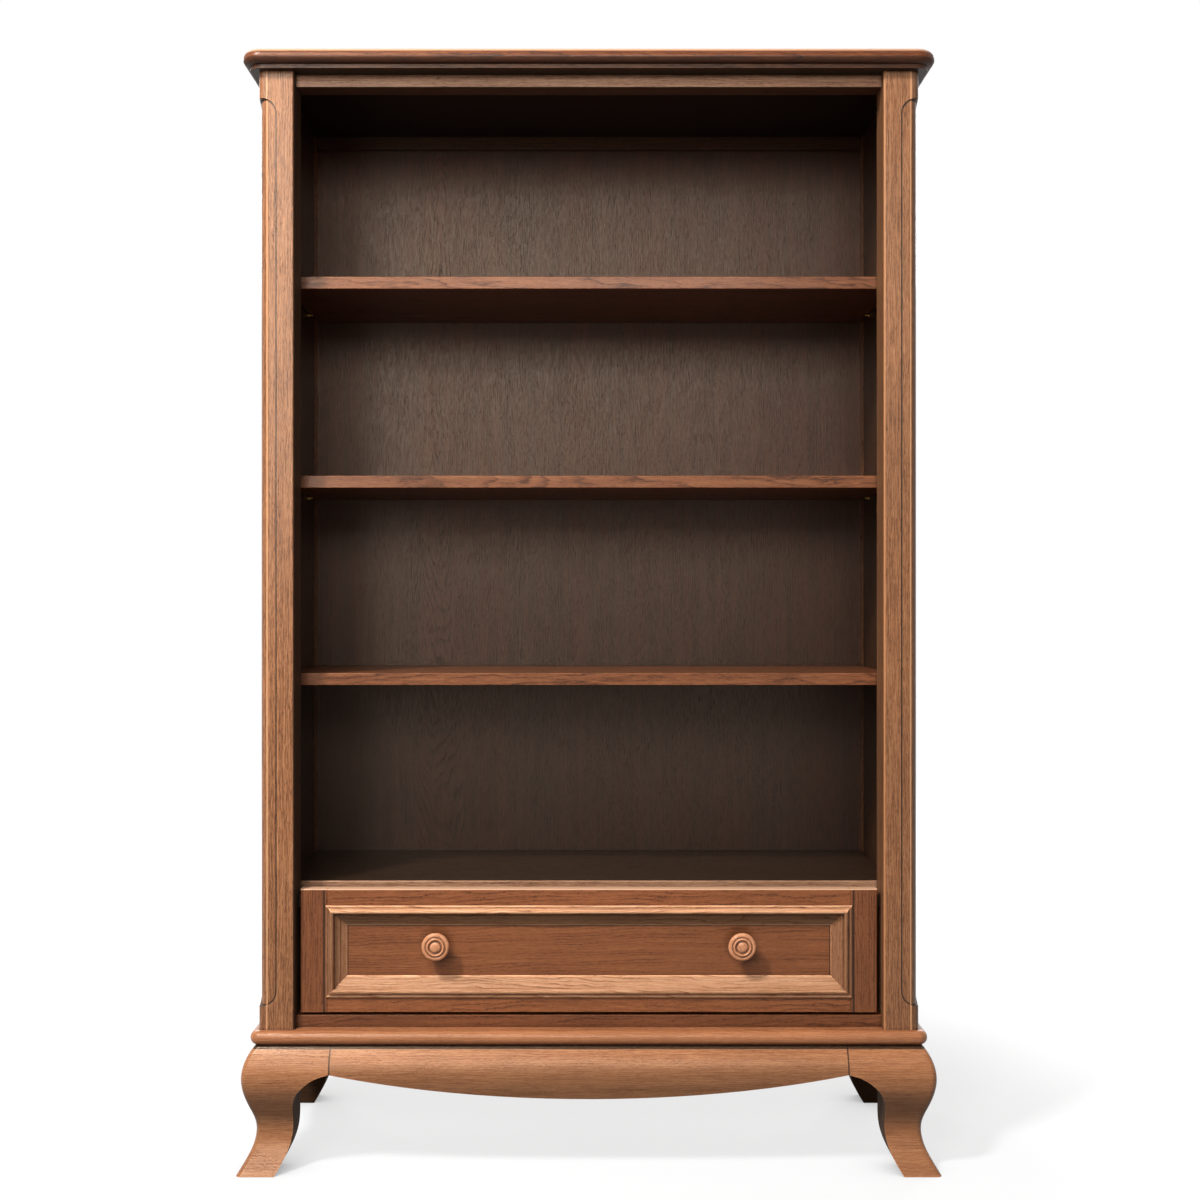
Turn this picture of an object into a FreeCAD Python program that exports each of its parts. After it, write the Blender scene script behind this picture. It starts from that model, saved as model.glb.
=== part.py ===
import FreeCAD, Part
import os
import re

# An oak bookcase: open shelves over one drawer, on shaped feet.
# Millimetres. Z is up, the front faces -Y, and the origin is on the floor at the
# centre of the whole footprint, which reaches from the front toes to the back.
# Each depth below is measured back from the front face of the posts.

SIZES = {
    # The whole piece
    "body_width": 1182,
    "body_depth": 430,
    "arris": 1,
    "overrun": 5,
    "fit_gap": 0.1,
    # Top board
    "top_thickness": 34,
    "top_overhang": 28,
    "top_corner_radius": 36,
    "top_band_height": 7,
    "top_band_inset": 12.5,
    "top_front_rail_height": 22,
    "top_front_rail_depth": 44,
    "top_rear_rail_height": 24,
    "top_rear_rail_thickness": 22,
    # Posts and walls
    "front_post_width": 64,
    "front_post_depth": 66,
    "post_corner_radius": 10,
    "post_inner_radius": 4,
    "recess_width": 33,
    "recess_depth": 2.5,
    "recess_corner_radius": 16,
    "recess_end_radius": 28,
    "recess_foot_margin": 41,
    "recess_head_margin": 48,
    "rear_post_depth": 50,
    "side_panel_inset": 11.5,
    "side_panel_thickness": 22,
    "tongue_length": 8,
    "tongue_thickness": 8,
    "back_panel_thickness": 6,
    "back_panel_inset": 3,
    "back_panel_rebate": 8,
    # Shelves
    "shelf_thickness": 22,
    "shelf_setback": 2,
    "shelf_side_gap": 1,
    "shelf_rear_gap": 2,
    "lowest_bay_height": 358,
    "lower_bay_height": 339.5,
    "upper_bay_height": 342.5,
    "highest_bay_height": 354,
    "pin_radius": 2.5,
    "pin_length": 16,
    "pin_hole_depth": 9,
    "pin_collar_radius": 4.5,
    "pin_collar_thickness": 0.8,
    "pin_front_depth": 110,
    "pin_rear_inset": 109,
    # Drawer bay
    "drawer_bay_height": 233,
    "deck_thickness": 22,
    "deck_edge_radius": 2,
    "deck_rail_height": 22,
    "deck_rail_depth": 44,
    "cleat_side": 20,
    "bottom_rail_height": 21.5,
    "bottom_rail_setback": 20,
    "bottom_board_thickness": 22,
    "guide_height": 70,
    "guide_rear_gap": 15,
    "runner_height": 15,
    "runner_gap": 0.3,
    "runner_setback": 6,
    # Base
    "foot_height": 226,
    "base_thickness": 25,
    "base_overhang": 14,
    "base_corner_radius": 16,
    "base_frame_width": 90,
    "base_rear_rail_width": 60,
    "toe_flare": 34,
    "ankle_width": 63.5,
    "rear_ankle_depth": 54,
    "ear_reach": 66.5,
    "ear_height": 48,
    "heel_inset": 30,
    "wing_thickness": 14,
    "foot_corner_radius": 11,
    "apron_drop": 44,
    "side_apron_drop": 20,
    "rear_apron_thickness": 20,
    "block_length": 70,
    "block_thickness": 20,
    "block_height": 36,
    # Dowels
    "dowel_radius": 5,
    "top_dowel_length": 40,
    "foot_dowel_length": 30,
    "dowel_near_edge": 18,
    "dowel_far_edge": 45,
    # Screws
    "screw_radius": 2,
    "screw_head_radius": 3.5,
    "screw_head_height": 2.5,
    "runner_screw_length": 35,
    "back_screw_length": 15,
    "back_screw_head": 1.2,
    "front_screw_length": 28,
    "knob_screw_radius": 2,
    "knob_screw_length": 40,
    # Drawer front
    "front_side_gap": 7.5,
    "front_foot_gap": 5,
    "front_head_lap": 15.5,
    "front_setback": 20,
    "front_thickness": 22,
    "front_edge_radius": 2.5,
    "stile_width": 48.5,
    "front_rail_width": 32.5,
    "front_foot_rail_width": 29.5,
    "panel_sink": 10,
    "panel_thickness": 8,
    "panel_tongue": 6,
    "moulding_lap": 3,
    "moulding_width": 38,
    "moulding_ridge_height": 9,
    # Drawer box
    "drawer_guide_clearance": 1,
    "drawer_side_inset": 12,
    "sub_front_thickness": 16,
    "drawer_side_thickness": 14,
    "drawer_back_thickness": 14,
    "drawer_rear_gap": 21,
    "drawer_floor_gap": 12,
    "drawer_head_gap": 7,
    "drawer_bottom_lift": 10,
    "drawer_bottom_thickness": 6,
    "drawer_bottom_tongue": 6,
    "runner_groove_depth": 8,
    "runner_stop_gap": 0.5,
    # Knobs
    "knob_offset": 274.5,
    "knob_rise": 12,
    "knob_collar_radius": 13,
    "knob_collar_height": 3,
    "knob_neck_radius": 8.5,
    "knob_radius": 25,
    "knob_rim_radius": 4.5,
    "knob_rim_level": 28.5,
    "knob_flare_level": 13,
    "knob_groove_radius": 1.5,
    "knob_groove_ring_radius": 17.6,
    "knob_bead_radius": 1.7,
    "knob_bead_ring_radius": 14.4,
    "knob_well_radius": 2.1,
    "knob_well_ring_radius": 10.8,
    "knob_button_radius": 9.2,
    "knob_button_rise": 3,
}

# Places worked out from the sizes above.
PLACES = {
    "half_width": "body_width / 2",
    "front_y": "(toe_flare - body_depth) / 2",
    "back_y": "front_y + body_depth",
    "carcass_foot": "foot_height + base_thickness",
    "deck_level": "carcass_foot + drawer_bay_height",
    "shelf_lower_level": "deck_level + deck_thickness + lowest_bay_height",
    "shelf_middle_level": "shelf_lower_level + shelf_thickness + lower_bay_height",
    "shelf_upper_level": "shelf_middle_level + shelf_thickness + upper_bay_height",
    "carcass_head": "shelf_upper_level + shelf_thickness + highest_bay_height",
    "overall_height": "carcass_head + top_thickness",
    "nose_foot": "carcass_head + top_band_height",
    "post_inner_x": "half_width - front_post_width",
    "post_rear_y": "front_y + front_post_depth",
    "rear_post_y": "back_y - rear_post_depth",
    "panel_outer_x": "half_width - side_panel_inset",
    "wall_x": "panel_outer_x - side_panel_thickness",
    "back_face_y": "back_y - back_panel_inset - back_panel_thickness",
    "back_screw_tip_y": "back_y - back_panel_inset - back_screw_length",
    "tongue_x": "wall_x + (side_panel_thickness - tongue_thickness) / 2",
    "shelf_y": "post_rear_y + shelf_setback",
    "bottom_board_head": "carcass_foot + bottom_board_thickness",
    "bottom_rail_y": "front_y + bottom_rail_setback",
    "front_half": "post_inner_x - front_side_gap",
    "front_foot": "carcass_foot + bottom_rail_height + front_foot_gap",
    "front_head": "deck_level + front_head_lap",
    "front_face_y": "front_y + front_setback",
    "front_rear_y": "front_face_y + front_thickness",
    "stile_inner_x": "front_half - stile_width",
    "panel_foot": "front_foot + front_foot_rail_width",
    "panel_head": "front_head - front_rail_width",
    "panel_face_y": "front_face_y + panel_sink",
    "panel_rear_y": "panel_face_y + panel_thickness",
    "drawer_half": "post_inner_x - drawer_side_inset",
    "drawer_inner_x": "drawer_half - drawer_side_thickness",
    "sub_front_rear_y": "front_rear_y + sub_front_thickness",
    "drawer_rear_y": "back_face_y - drawer_rear_gap",
    "drawer_back_y": "drawer_rear_y - drawer_back_thickness",
    "drawer_floor_level": "bottom_board_head + drawer_floor_gap",
    "drawer_box_head": "deck_level - deck_rail_height - drawer_head_gap",
    "drawer_bottom_level": "drawer_floor_level + drawer_bottom_lift",
    "guide_x": "drawer_half + drawer_guide_clearance",
    "guide_y": "post_rear_y",
    "runner_level": "(drawer_floor_level + drawer_box_head - runner_height) / 2",
    "guide_foot": "runner_level + (runner_height - guide_height) / 2",
    "runner_y": "guide_y + runner_setback",
    "runner_rear_y": "back_face_y - guide_rear_gap",
    "runner_inner_x": "drawer_half - runner_groove_depth + runner_gap",
    "ear_x": "half_width - ankle_width - ear_reach",
    "ear_y": "front_y + ankle_width + ear_reach",
    "ankle_x": "half_width - ankle_width",
    "rear_ankle_y": "back_y - rear_ankle_depth",
    "rear_ear_y": "rear_ankle_y - ear_reach",
    "wing_y": "front_y + wing_thickness",
    "wing_x": "half_width - wing_thickness",
    "rear_wing_y": "back_y - rear_apron_thickness",
    "ear_level": "foot_height - ear_height",
    "knob_level": "(panel_foot + panel_head) / 2 + knob_rise",
}

# The noses: the top board's, over and under its widest line, as shares of its height, and
# the base moulding's as a share of its thickness.
TOP_NOSE_SHARE = 0.54
TOP_UNDER_SHARE = 0.44
BASE_NOSE_SHARE = 0.475

# Where the screws stand along each runner and up the drawer's stiles, as shares of their length.
RUNNER_SCREW_SHARES = (0.12, 0.5, 0.88)
FRONT_SCREW_SHARES = (0.25, 0.75)
BACK_SCREW_ROWS = 6

# The ogee of the feet and aprons: (share of the foot's height, share of the toe flare).
OGEE_SHARES = (
    (1.0, 0.11), (0.917, 0.51), (0.764, 0.80), (0.604, 0.65), (0.507, 0.42),
    (0.409, 0.19), (0.325, 0.12), (0.191, 0.30), (0.10, 0.60), (0.0, 1.0),
)

# The foot's inner edge from ear to ankle: (share of the ear's reach, share of the height
# from the ankle up to the ear), and from ankle to heel: (share of the heel's inset, share
# of the ankle's level).
EAR_SHARES = (
    (1.0, 1.0), (0.77, 0.95), (0.53, 0.865), (0.30, 0.72), (0.12, 0.55), (0.02, 0.33), (0.0, 0.0),
)
HEEL_SHARES = ((0.03, 0.74), (0.12, 0.57), (0.35, 0.36), (1.0, 0.0))
ANKLE_LEVEL_SHARE = 0.43

# The drawer front's moulding. From its outer edge over the bead, the dip and the ridge:
# (share of the moulding's width, share of the ridge's height), three points to an arc.
# Then down the slope to the panel: (share of the width, share of the panel's sink).
RIDGE_SHARES = (
    (0.0, 0.13), (0.024, 0.38), (0.084, 0.45), (0.13, 0.37), (0.19, 0.51), (0.30, 1.0), (0.415, 0.47),
)
SLOPE_SHARES = ((0.437, 0.0), (0.684, 0.38), (0.70, 0.48), (1.0, 0.90), (1.0, 1.0))

doc = FreeCAD.newDocument("Bookcase")
sheet = doc.addObject("Spreadsheet::Sheet", "Sizes")
nodes = []


def fill_sheet():
    """Put every driving size in a cell of its own, with its name as the alias."""
    for row, (name, number) in enumerate(SIZES.items(), start=1):
        sheet.set(f"A{row}", name)
        sheet.set(f"B{row}", str(number))
        sheet.setAlias(f"B{row}", name)
    doc.recompute()


def formula(text):
    """Write a sum of named sizes and places as an expression on the sheet's cells."""

    def cell(match):
        name = match.group(0)
        if name in PLACES:
            return "(" + formula(PLACES[name]) + ")"
        return "Sizes." + name

    return re.sub(r"[a-z][a-z_]+", cell, text)


def size(text):
    """Read a sum of named sizes and places from the sheet as a number."""
    return float(sheet.evalExpression(formula(text)))


def point(x, y, z):
    """A point whose coordinates are sums of named sizes."""
    return FreeCAD.Vector(size(x), size(y), size(z))


def node(feature, label):
    """Make a finished object one of the bookcase's pieces, under its own name."""
    feature.Label = label
    nodes.append(feature)
    return feature


def block(owner, kind, name, x, y, z):
    """Add a box between pairs of places along each axis, bound to the sheet."""
    stock = owner(kind, name)
    for side, axis, (low, high) in zip(("Length", "Width", "Height"), "xyz", (x, y, z)):
        stock.setExpression(side, formula(f"({high}) - ({low})"))
        stock.setExpression(f".Placement.Base.{axis}", formula(low))
    return stock


def box(name, x, y, z):
    """A loose box, used as a part of other shapes."""
    return block(doc.addObject, "Part::Box", name, x, y, z)


TURNS = {
    "x": FreeCAD.Rotation(FreeCAD.Vector(0, 1, 0), 90),
    "y": FreeCAD.Rotation(FreeCAD.Vector(1, 0, 0), -90),
    "z": FreeCAD.Rotation(),
}


def place_round(shape, axis, x, y, z):
    """Stand a round shape with its foot at a point and its axis along +X, +Y or +Z."""
    shape.Placement = FreeCAD.Placement(FreeCAD.Vector(), TURNS[axis])
    for letter, text in zip("xyz", (x, y, z)):
        shape.setExpression(f".Placement.Base.{letter}", formula(text))


def cylinder(owner, kind, name, axis, x, y, z, radius, length):
    """Add a cylinder that starts at a point and runs along +X, +Y or +Z."""
    shape = owner(kind, name)
    shape.setExpression("Radius", formula(radius))
    shape.setExpression("Height", formula(length))
    place_round(shape, axis, x, y, z)
    return shape


def rod(name, axis, x, y, z, radius, length):
    """A loose cylinder."""
    return cylinder(doc.addObject, "Part::Cylinder", name, axis, x, y, z, radius, length)


def cone(name, axis, x, y, z, foot_radius, head_radius, length):
    """A loose cone that starts at a point and runs along +X, +Y or +Z."""
    shape = doc.addObject("Part::Cone", name)
    shape.setExpression("Radius1", formula(foot_radius))
    shape.setExpression("Radius2", formula(head_radius))
    shape.setExpression("Height", formula(length))
    place_round(shape, axis, x, y, z)
    return shape


class Board:
    """A sawn board with its grooves, holes and eased edges, as one body."""

    def __init__(self, label, x, y, z):
        self.label = label
        self.body = doc.addObject("PartDesign::Body", label)
        self.steps = 0
        block(self.body.newObject, "PartDesign::AdditiveBox", label + "_stock", x, y, z)

    def name(self, word):
        """A name for the next step of this board."""
        self.steps += 1
        return f"{self.label}_{word}_{self.steps}"

    def add(self, x, y, z):
        """Add a tongue or a lip."""
        block(self.body.newObject, "PartDesign::AdditiveBox", self.name("tongue"), x, y, z)

    def cut(self, x, y, z):
        """Cut a groove, rebate or notch."""
        block(self.body.newObject, "PartDesign::SubtractiveBox", self.name("groove"), x, y, z)

    def bore(self, axis, x, y, z, radius, length):
        """Bore a hole from a point along +X, +Y or +Z."""
        kind = "PartDesign::SubtractiveCylinder"
        cylinder(self.body.newObject, kind, self.name("hole"), axis, x, y, z, radius, length)

    def sink(self, axis, x, y, z, foot_radius, head_radius, length):
        """Countersink a hole towards +X, +Y or +Z."""
        hole = self.body.newObject("PartDesign::SubtractiveCone", self.name("countersink"))
        hole.setExpression("Radius1", formula(foot_radius))
        hole.setExpression("Radius2", formula(head_radius))
        hole.setExpression("Height", formula(length))
        place_round(hole, axis, x, y, z)

    def ease(self, radius, *lines):
        """Round every edge that lies on one of the lines, each given by its fixed places."""
        doc.recompute()
        tip = self.body.Tip
        rounding = self.body.newObject("PartDesign::Fillet", self.name("ease"))
        rounding.Base = (tip, edges_on(tip.Shape, lines))
        rounding.setExpression("Radius", formula(radius))

    def keep(self):
        """Make the board one of the bookcase's pieces."""
        return node(self.body, self.label)


def edges_on(shape, lines):
    """Name the edges that lie on the lines.

    A line is a dictionary of fixed places, such as {"y": front, "z": top}. A pair of
    places stands for the range that the whole edge lies in.
    """
    names = []
    near = FreeCAD.Base.Precision.confusion() * 10
    for line in lines:
        limits = {}
        for axis, text in line.items():
            pair = text if isinstance(text, tuple) else (text, text)
            limits[axis.upper()] = (size(pair[0]) - near, size(pair[1]) + near)
        for number, edge in enumerate(shape.Edges, start=1):
            bounds = edge.BoundBox
            inside = True
            for axis, (low, high) in limits.items():
                if getattr(bounds, axis + "Min") < low or getattr(bounds, axis + "Max") > high:
                    inside = False
            if inside and f"Edge{number}" not in names:
                names.append(f"Edge{number}")
    return names


def mirror(source, label):
    """The right-hand twin of a left-hand piece."""
    twin = doc.addObject("Part::Mirroring", label)
    twin.Source = source
    twin.Normal = FreeCAD.Vector(1, 0, 0)
    return node(twin, label)


def cut(name, base, tool):
    """One shape less another."""
    result = doc.addObject("Part::Cut", name)
    result.Base = base
    result.Tool = tool
    return result


def fuse(name, *shapes):
    """Several touching shapes as one."""
    result = doc.addObject("Part::MultiFuse", name)
    result.Shapes = list(shapes)
    return result


def both_sides(left):
    """A small piece and its mirror image, for a group."""
    right = doc.addObject("Part::Mirroring", left.Name + "_right")
    right.Source = left
    right.Normal = FreeCAD.Vector(1, 0, 0)
    return [left, right]


def group(label, members):
    """Several equal small pieces, each a solid of its own, under one name."""
    result = doc.addObject("Part::Compound", label)
    result.Links = members
    return node(result, label)


def solid_feature(name, shape):
    """A piece whose curved form is made directly from the named sizes."""
    feature = doc.addObject("Part::Feature", name)
    feature.Shape = shape
    feature.Placement = FreeCAD.Placement()
    return feature


def outline_face(edges):
    """A flat face inside a closed run of edges."""
    return Part.Face(Part.Wire(edges))


def straight_runs(points):
    """Straight edges from each point to the next."""
    return [Part.LineSegment(start, end).toShape() for start, end in zip(points, points[1:])]


def smooth_run(points):
    """One smooth edge through the points."""
    curve = Part.BSplineCurve()
    curve.interpolate(points)
    return curve.toShape()


def build_top():
    """The top board: a rounded nose on three sides over a narrow set-back band."""
    rim = "half_width + top_overhang"
    lip = "front_y - top_overhang"
    band_rim = "half_width + top_overhang - top_band_inset"
    band_lip = "front_y - top_overhang + top_band_inset"
    top = Board("top_board", (f"-({band_rim})", band_rim), (band_lip, "back_y"),
                ("carcass_head", "nose_foot"))
    top.ease("top_corner_radius - top_band_inset", {"x": f"-({band_rim})", "y": band_lip},
             {"x": band_rim, "y": band_lip})
    top.add((f"-({rim})", rim), (lip, "back_y"), ("nose_foot", "overall_height"))
    top.ease("top_corner_radius", {"x": f"-({rim})", "y": lip}, {"x": rim, "y": lip})
    top.ease(f"(top_thickness - top_band_height) * {TOP_NOSE_SHARE}", {"z": "overall_height", "y": lip})
    top.ease(f"(top_thickness - top_band_height) * {TOP_UNDER_SHARE}", {"z": "nose_foot", "y": lip})
    for x, y in top_dowel_places():
        top.bore("z", x, y, "carcass_head - overrun", "dowel_radius + fit_gap",
                 "overrun + top_dowel_length / 2 + fit_gap")
    top.keep()


def top_dowel_places():
    """Where the dowels stand between the top board and the posts."""
    front = ("half_width - front_post_width / 2", "front_y + front_post_depth / 2")
    rear = ("(half_width + wall_x) / 2", "back_y - rear_post_depth / 2")
    wall = ("(panel_outer_x + wall_x) / 2", "(front_y + back_y) / 2")
    places = []
    for x, y in (front, rear, wall):
        places.append((x, y))
        places.append((f"-({x})", y))
    return places


def build_top_rails():
    """The rails under the top board's front and rear edges."""
    rail = Board("top_front_rail", ("-post_inner_x", "post_inner_x"),
                 ("post_rear_y - top_front_rail_depth", "post_rear_y"),
                 ("carcass_head - top_front_rail_height", "carcass_head"))
    rail.ease("arris", {"y": "post_rear_y - top_front_rail_depth",
                        "z": "carcass_head - top_front_rail_height"})
    rail.keep()
    batten = Board("top_rear_rail", ("-wall_x", "wall_x"),
                   ("back_face_y - top_rear_rail_thickness", "back_face_y"),
                   ("carcass_head - top_rear_rail_height", "carcass_head"))
    batten.ease("arris", {"y": "back_face_y - top_rear_rail_thickness",
                          "z": "carcass_head - top_rear_rail_height"})
    batten.keep()


def recess_wire(across, below, inset):
    """The outline of the stopped recess on a plane below one face of the post.

    Args:
        across: turns a distance in from the post's outer corner, a height and a distance
            below the face into a point.
        below: how far the plane lies below the face.
        inset: how far the outline is drawn in on that plane.
    """
    width = size("recess_width") - inset
    radius = size("recess_end_radius") - inset
    outer = -size("overrun")
    low = size("carcass_foot + recess_foot_margin") + inset
    high = size("carcass_head - recess_head_margin") - inset
    bow = radius * (1 - 0.5 ** 0.5)
    places = [(width - radius, high), (outer, high), (outer, low), (width - radius, low)]
    edges = straight_runs([across(inward, z, below) for inward, z in places])
    edges.append(Part.Arc(across(width - radius, low, below), across(width - bow, low + bow, below),
                          across(width, low + radius, below)).toShape())
    edges += straight_runs([across(width, low + radius, below), across(width, high - radius, below)])
    edges.append(Part.Arc(across(width, high - radius, below), across(width - bow, high - bow, below),
                          across(width - radius, high, below)).toShape())
    return Part.Wire(edges)


def recess_arm(across):
    """The recess as it is cut from one face, and the upright block that it lies in.

    Its walls slope at 45 degrees down to its floor and go on straight below that.
    """
    mouth = -size("overrun")
    floor = size("recess_depth")
    reach = size("recess_width")
    sloped = Part.makeLoft([recess_wire(across, mouth, mouth), recess_wire(across, floor, floor)],
                           True, True)
    straight = Part.makeLoft([recess_wire(across, floor, floor), recess_wire(across, reach, floor)],
                             True, True)
    block = Part.makeLoft([recess_wire(across, mouth, 0), recess_wire(across, reach, 0)], True, True)
    return sloped.fuse(straight), block


def recess_shape():
    """The cutter of the stopped recess on the left front post's outer corner."""
    left = size("-half_width")
    front = size("front_y")
    floor = size("recess_depth")
    reach = size("recess_width + overrun")
    front_arm, front_block = recess_arm(
        lambda inward, z, below: FreeCAD.Vector(left + inward, front + below, z))
    side_arm, side_block = recess_arm(
        lambda inward, z, below: FreeCAD.Vector(left + below, front + inward, z))
    core = Part.makeBox(reach, reach, size("carcass_head - carcass_foot"),
                        FreeCAD.Vector(left + floor, front + floor, size("carcass_foot")))
    corner = [edge for edge in core.Edges
              if edge.BoundBox.XMax < left + reach and edge.BoundBox.YMax < front + reach]
    core = core.makeFillet(size("recess_corner_radius"), corner)
    return front_arm.common(side_block).fuse(side_arm.common(front_block)).cut(core)


def build_front_posts():
    """The front posts, recessed down the outer corner and grooved for the side panels."""
    post = Board("front_post_stock", ("-half_width", "-post_inner_x"), ("front_y", "post_rear_y"),
                 ("carcass_foot", "carcass_head"))
    post.ease("post_corner_radius", {"x": "-half_width", "y": "front_y"})
    post.ease("post_inner_radius", {"x": "-post_inner_x", "y": "front_y"})
    post.cut(("-(tongue_x + tongue_thickness)", "-tongue_x"),
             ("post_rear_y - tongue_length", "post_rear_y + overrun"),
             ("carcass_foot - overrun", "carcass_head + overrun"))
    post.bore("z", "-(half_width - front_post_width / 2)", "front_y + front_post_depth / 2",
              "carcass_head - top_dowel_length / 2 - fit_gap", "dowel_radius + fit_gap",
              "top_dowel_length")
    cutter = solid_feature("recess_cutter", recess_shape())
    left = node(cut("front_post_left", post.body, cutter), "front_post_left")
    mirror(left, "front_post_right")


def build_rear_posts():
    """The rear posts, rebated for the back panel and grooved for the side panels."""
    post = Board("rear_post_left", ("-half_width", "-wall_x"), ("rear_post_y", "back_y"),
                 ("carcass_foot", "carcass_head"))
    post.cut(("-(wall_x + back_panel_rebate)", "-wall_x + overrun"), ("back_face_y", "back_y + overrun"),
             ("carcass_foot - overrun", "carcass_head + overrun"))
    post.cut(("-(tongue_x + tongue_thickness)", "-tongue_x"),
             ("rear_post_y - overrun", "rear_post_y + tongue_length"),
             ("carcass_foot - overrun", "carcass_head + overrun"))
    post.bore("z", "-(half_width + wall_x) / 2", "back_y - rear_post_depth / 2",
              "carcass_head - top_dowel_length / 2 - fit_gap", "dowel_radius + fit_gap",
              "top_dowel_length")
    for z in back_screw_levels():
        post.bore("y", "-(wall_x + back_panel_rebate / 2)", "back_screw_tip_y - fit_gap", z,
                  "screw_radius + fit_gap", "back_screw_length")
    post.ease("arris * 2", {"x": "-half_width", "y": "back_y"})
    mirror(post.keep(), "rear_post_right")


def pin_places():
    """Where the shelf pins stand in the left wall: (depth, height) for each pin."""
    places = []
    for level in ("shelf_upper_level", "shelf_middle_level", "shelf_lower_level"):
        for y in ("front_y + pin_front_depth", "back_y - pin_rear_inset"):
            places.append((y, f"{level} - pin_radius"))
    return places


def build_walls():
    """The side panels, tongued into the posts, with holes for the shelf pins."""
    panel = Board("side_panel_left", ("-panel_outer_x", "-wall_x"), ("post_rear_y", "rear_post_y"),
                  ("carcass_foot", "carcass_head"))
    panel.add(("-(tongue_x + tongue_thickness)", "-tongue_x"),
              ("post_rear_y - tongue_length", "post_rear_y"), ("carcass_foot", "carcass_head"))
    panel.add(("-(tongue_x + tongue_thickness)", "-tongue_x"),
              ("rear_post_y", "rear_post_y + tongue_length"), ("carcass_foot", "carcass_head"))
    panel.bore("z", "-(panel_outer_x + wall_x) / 2", "(front_y + back_y) / 2",
               "carcass_head - top_dowel_length / 2 - fit_gap", "dowel_radius + fit_gap",
               "top_dowel_length")
    for y, z in pin_places():
        panel.bore("x", "-wall_x - pin_hole_depth - fit_gap", y, z, "pin_radius + fit_gap",
                   "pin_hole_depth + overrun")
    mirror(panel.keep(), "side_panel_right")


def back_screw_levels():
    """Heights of the screws that hold the back panel in the posts' rebates."""
    levels = []
    for row in range(BACK_SCREW_ROWS):
        share = (row + 0.5) / BACK_SCREW_ROWS
        levels.append(f"carcass_foot + (carcass_head - carcass_foot) * {share}")
    return levels


def build_back():
    """The back panel, let into the rear posts' rebates and screwed there."""
    rim = "wall_x + back_panel_rebate"
    panel = Board("back_panel", (f"-({rim})", rim),
                  ("back_face_y", "back_face_y + back_panel_thickness"),
                  ("carcass_foot", "carcass_head"))
    for z in back_screw_levels():
        for x in ("wall_x + back_panel_rebate / 2", "-(wall_x + back_panel_rebate / 2)"):
            panel.bore("y", x, "back_face_y - overrun", z, "screw_radius + fit_gap",
                       "back_panel_thickness + overrun * 2")
    panel.keep()
    screws = []
    for number, z in enumerate(back_screw_levels(), start=1):
        for side, x in (("left", "-(wall_x + back_panel_rebate / 2)"),
                        ("right", "wall_x + back_panel_rebate / 2")):
            name = f"back_screw_{side}_{number}"
            shank = rod(name + "_shank", "y", x, "back_screw_tip_y", z, "screw_radius",
                        "back_screw_length")
            head = rod(name + "_head", "y", x, "back_screw_tip_y + back_screw_length", z,
                       "screw_head_radius", "back_screw_head")
            screws.append(fuse(name, shank, head))
    group("back_panel_screws", screws)


def build_shelves():
    """The three shelves and the pins that carry them."""
    rim = "wall_x - shelf_side_gap"
    for label, level in (("shelf_upper", "shelf_upper_level"), ("shelf_middle", "shelf_middle_level"),
                         ("shelf_lower", "shelf_lower_level")):
        shelf = Board(label, (f"-({rim})", rim), ("shelf_y", "back_face_y - shelf_rear_gap"),
                      (level, f"{level} + shelf_thickness"))
        shelf.ease("arris", {"y": "shelf_y", "z": level},
                   {"y": "shelf_y", "z": f"{level} + shelf_thickness"})
        shelf.keep()
    pins = []
    for number, (y, z) in enumerate(pin_places(), start=1):
        name = f"shelf_pin_{number}"
        stud = rod(name + "_stud", "x", "-wall_x - pin_hole_depth", y, z, "pin_radius", "pin_length")
        collar = rod(name + "_collar", "x", "-wall_x", y, z, "pin_collar_radius", "pin_collar_thickness")
        pins += both_sides(fuse(name, stud, collar))
    group("shelf_pins", pins)


def build_drawer_bay():
    """The fixed boards and rails round the drawer, its guides and its runners."""
    deck = Board("drawer_deck", ("-wall_x", "wall_x"), ("post_rear_y", "back_face_y"),
                 ("deck_level", "deck_level + deck_thickness"))
    deck.ease("deck_edge_radius", {"y": "post_rear_y", "z": "deck_level + deck_thickness"})
    deck.keep()
    rail_rear = "post_rear_y + deck_rail_depth / 2"
    Board("deck_front_rail", ("-post_inner_x", "post_inner_x"),
          ("post_rear_y - deck_rail_depth / 2", rail_rear),
          ("deck_level - deck_rail_height", "deck_level")).keep()
    cleat = Board("deck_cleat_left", ("-wall_x", "-wall_x + cleat_side"), (rail_rear, "back_face_y"),
                  ("deck_level - cleat_side", "deck_level"))
    mirror(cleat.keep(), "deck_cleat_right")
    rail = Board("bottom_rail", ("-post_inner_x", "post_inner_x"), ("bottom_rail_y", "post_rear_y"),
                 ("carcass_foot", "carcass_foot + bottom_rail_height"))
    rail.ease("arris", {"y": "bottom_rail_y", "z": "carcass_foot + bottom_rail_height"})
    rail.keep()
    Board("bottom_board", ("-wall_x", "wall_x"), ("post_rear_y", "back_face_y"),
          ("carcass_foot", "bottom_board_head")).keep()
    build_runners()


def runner_screw_places():
    """Where the screws stand along each runner."""
    return [f"runner_y + (runner_rear_y - runner_y) * {share}" for share in RUNNER_SCREW_SHARES]


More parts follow.
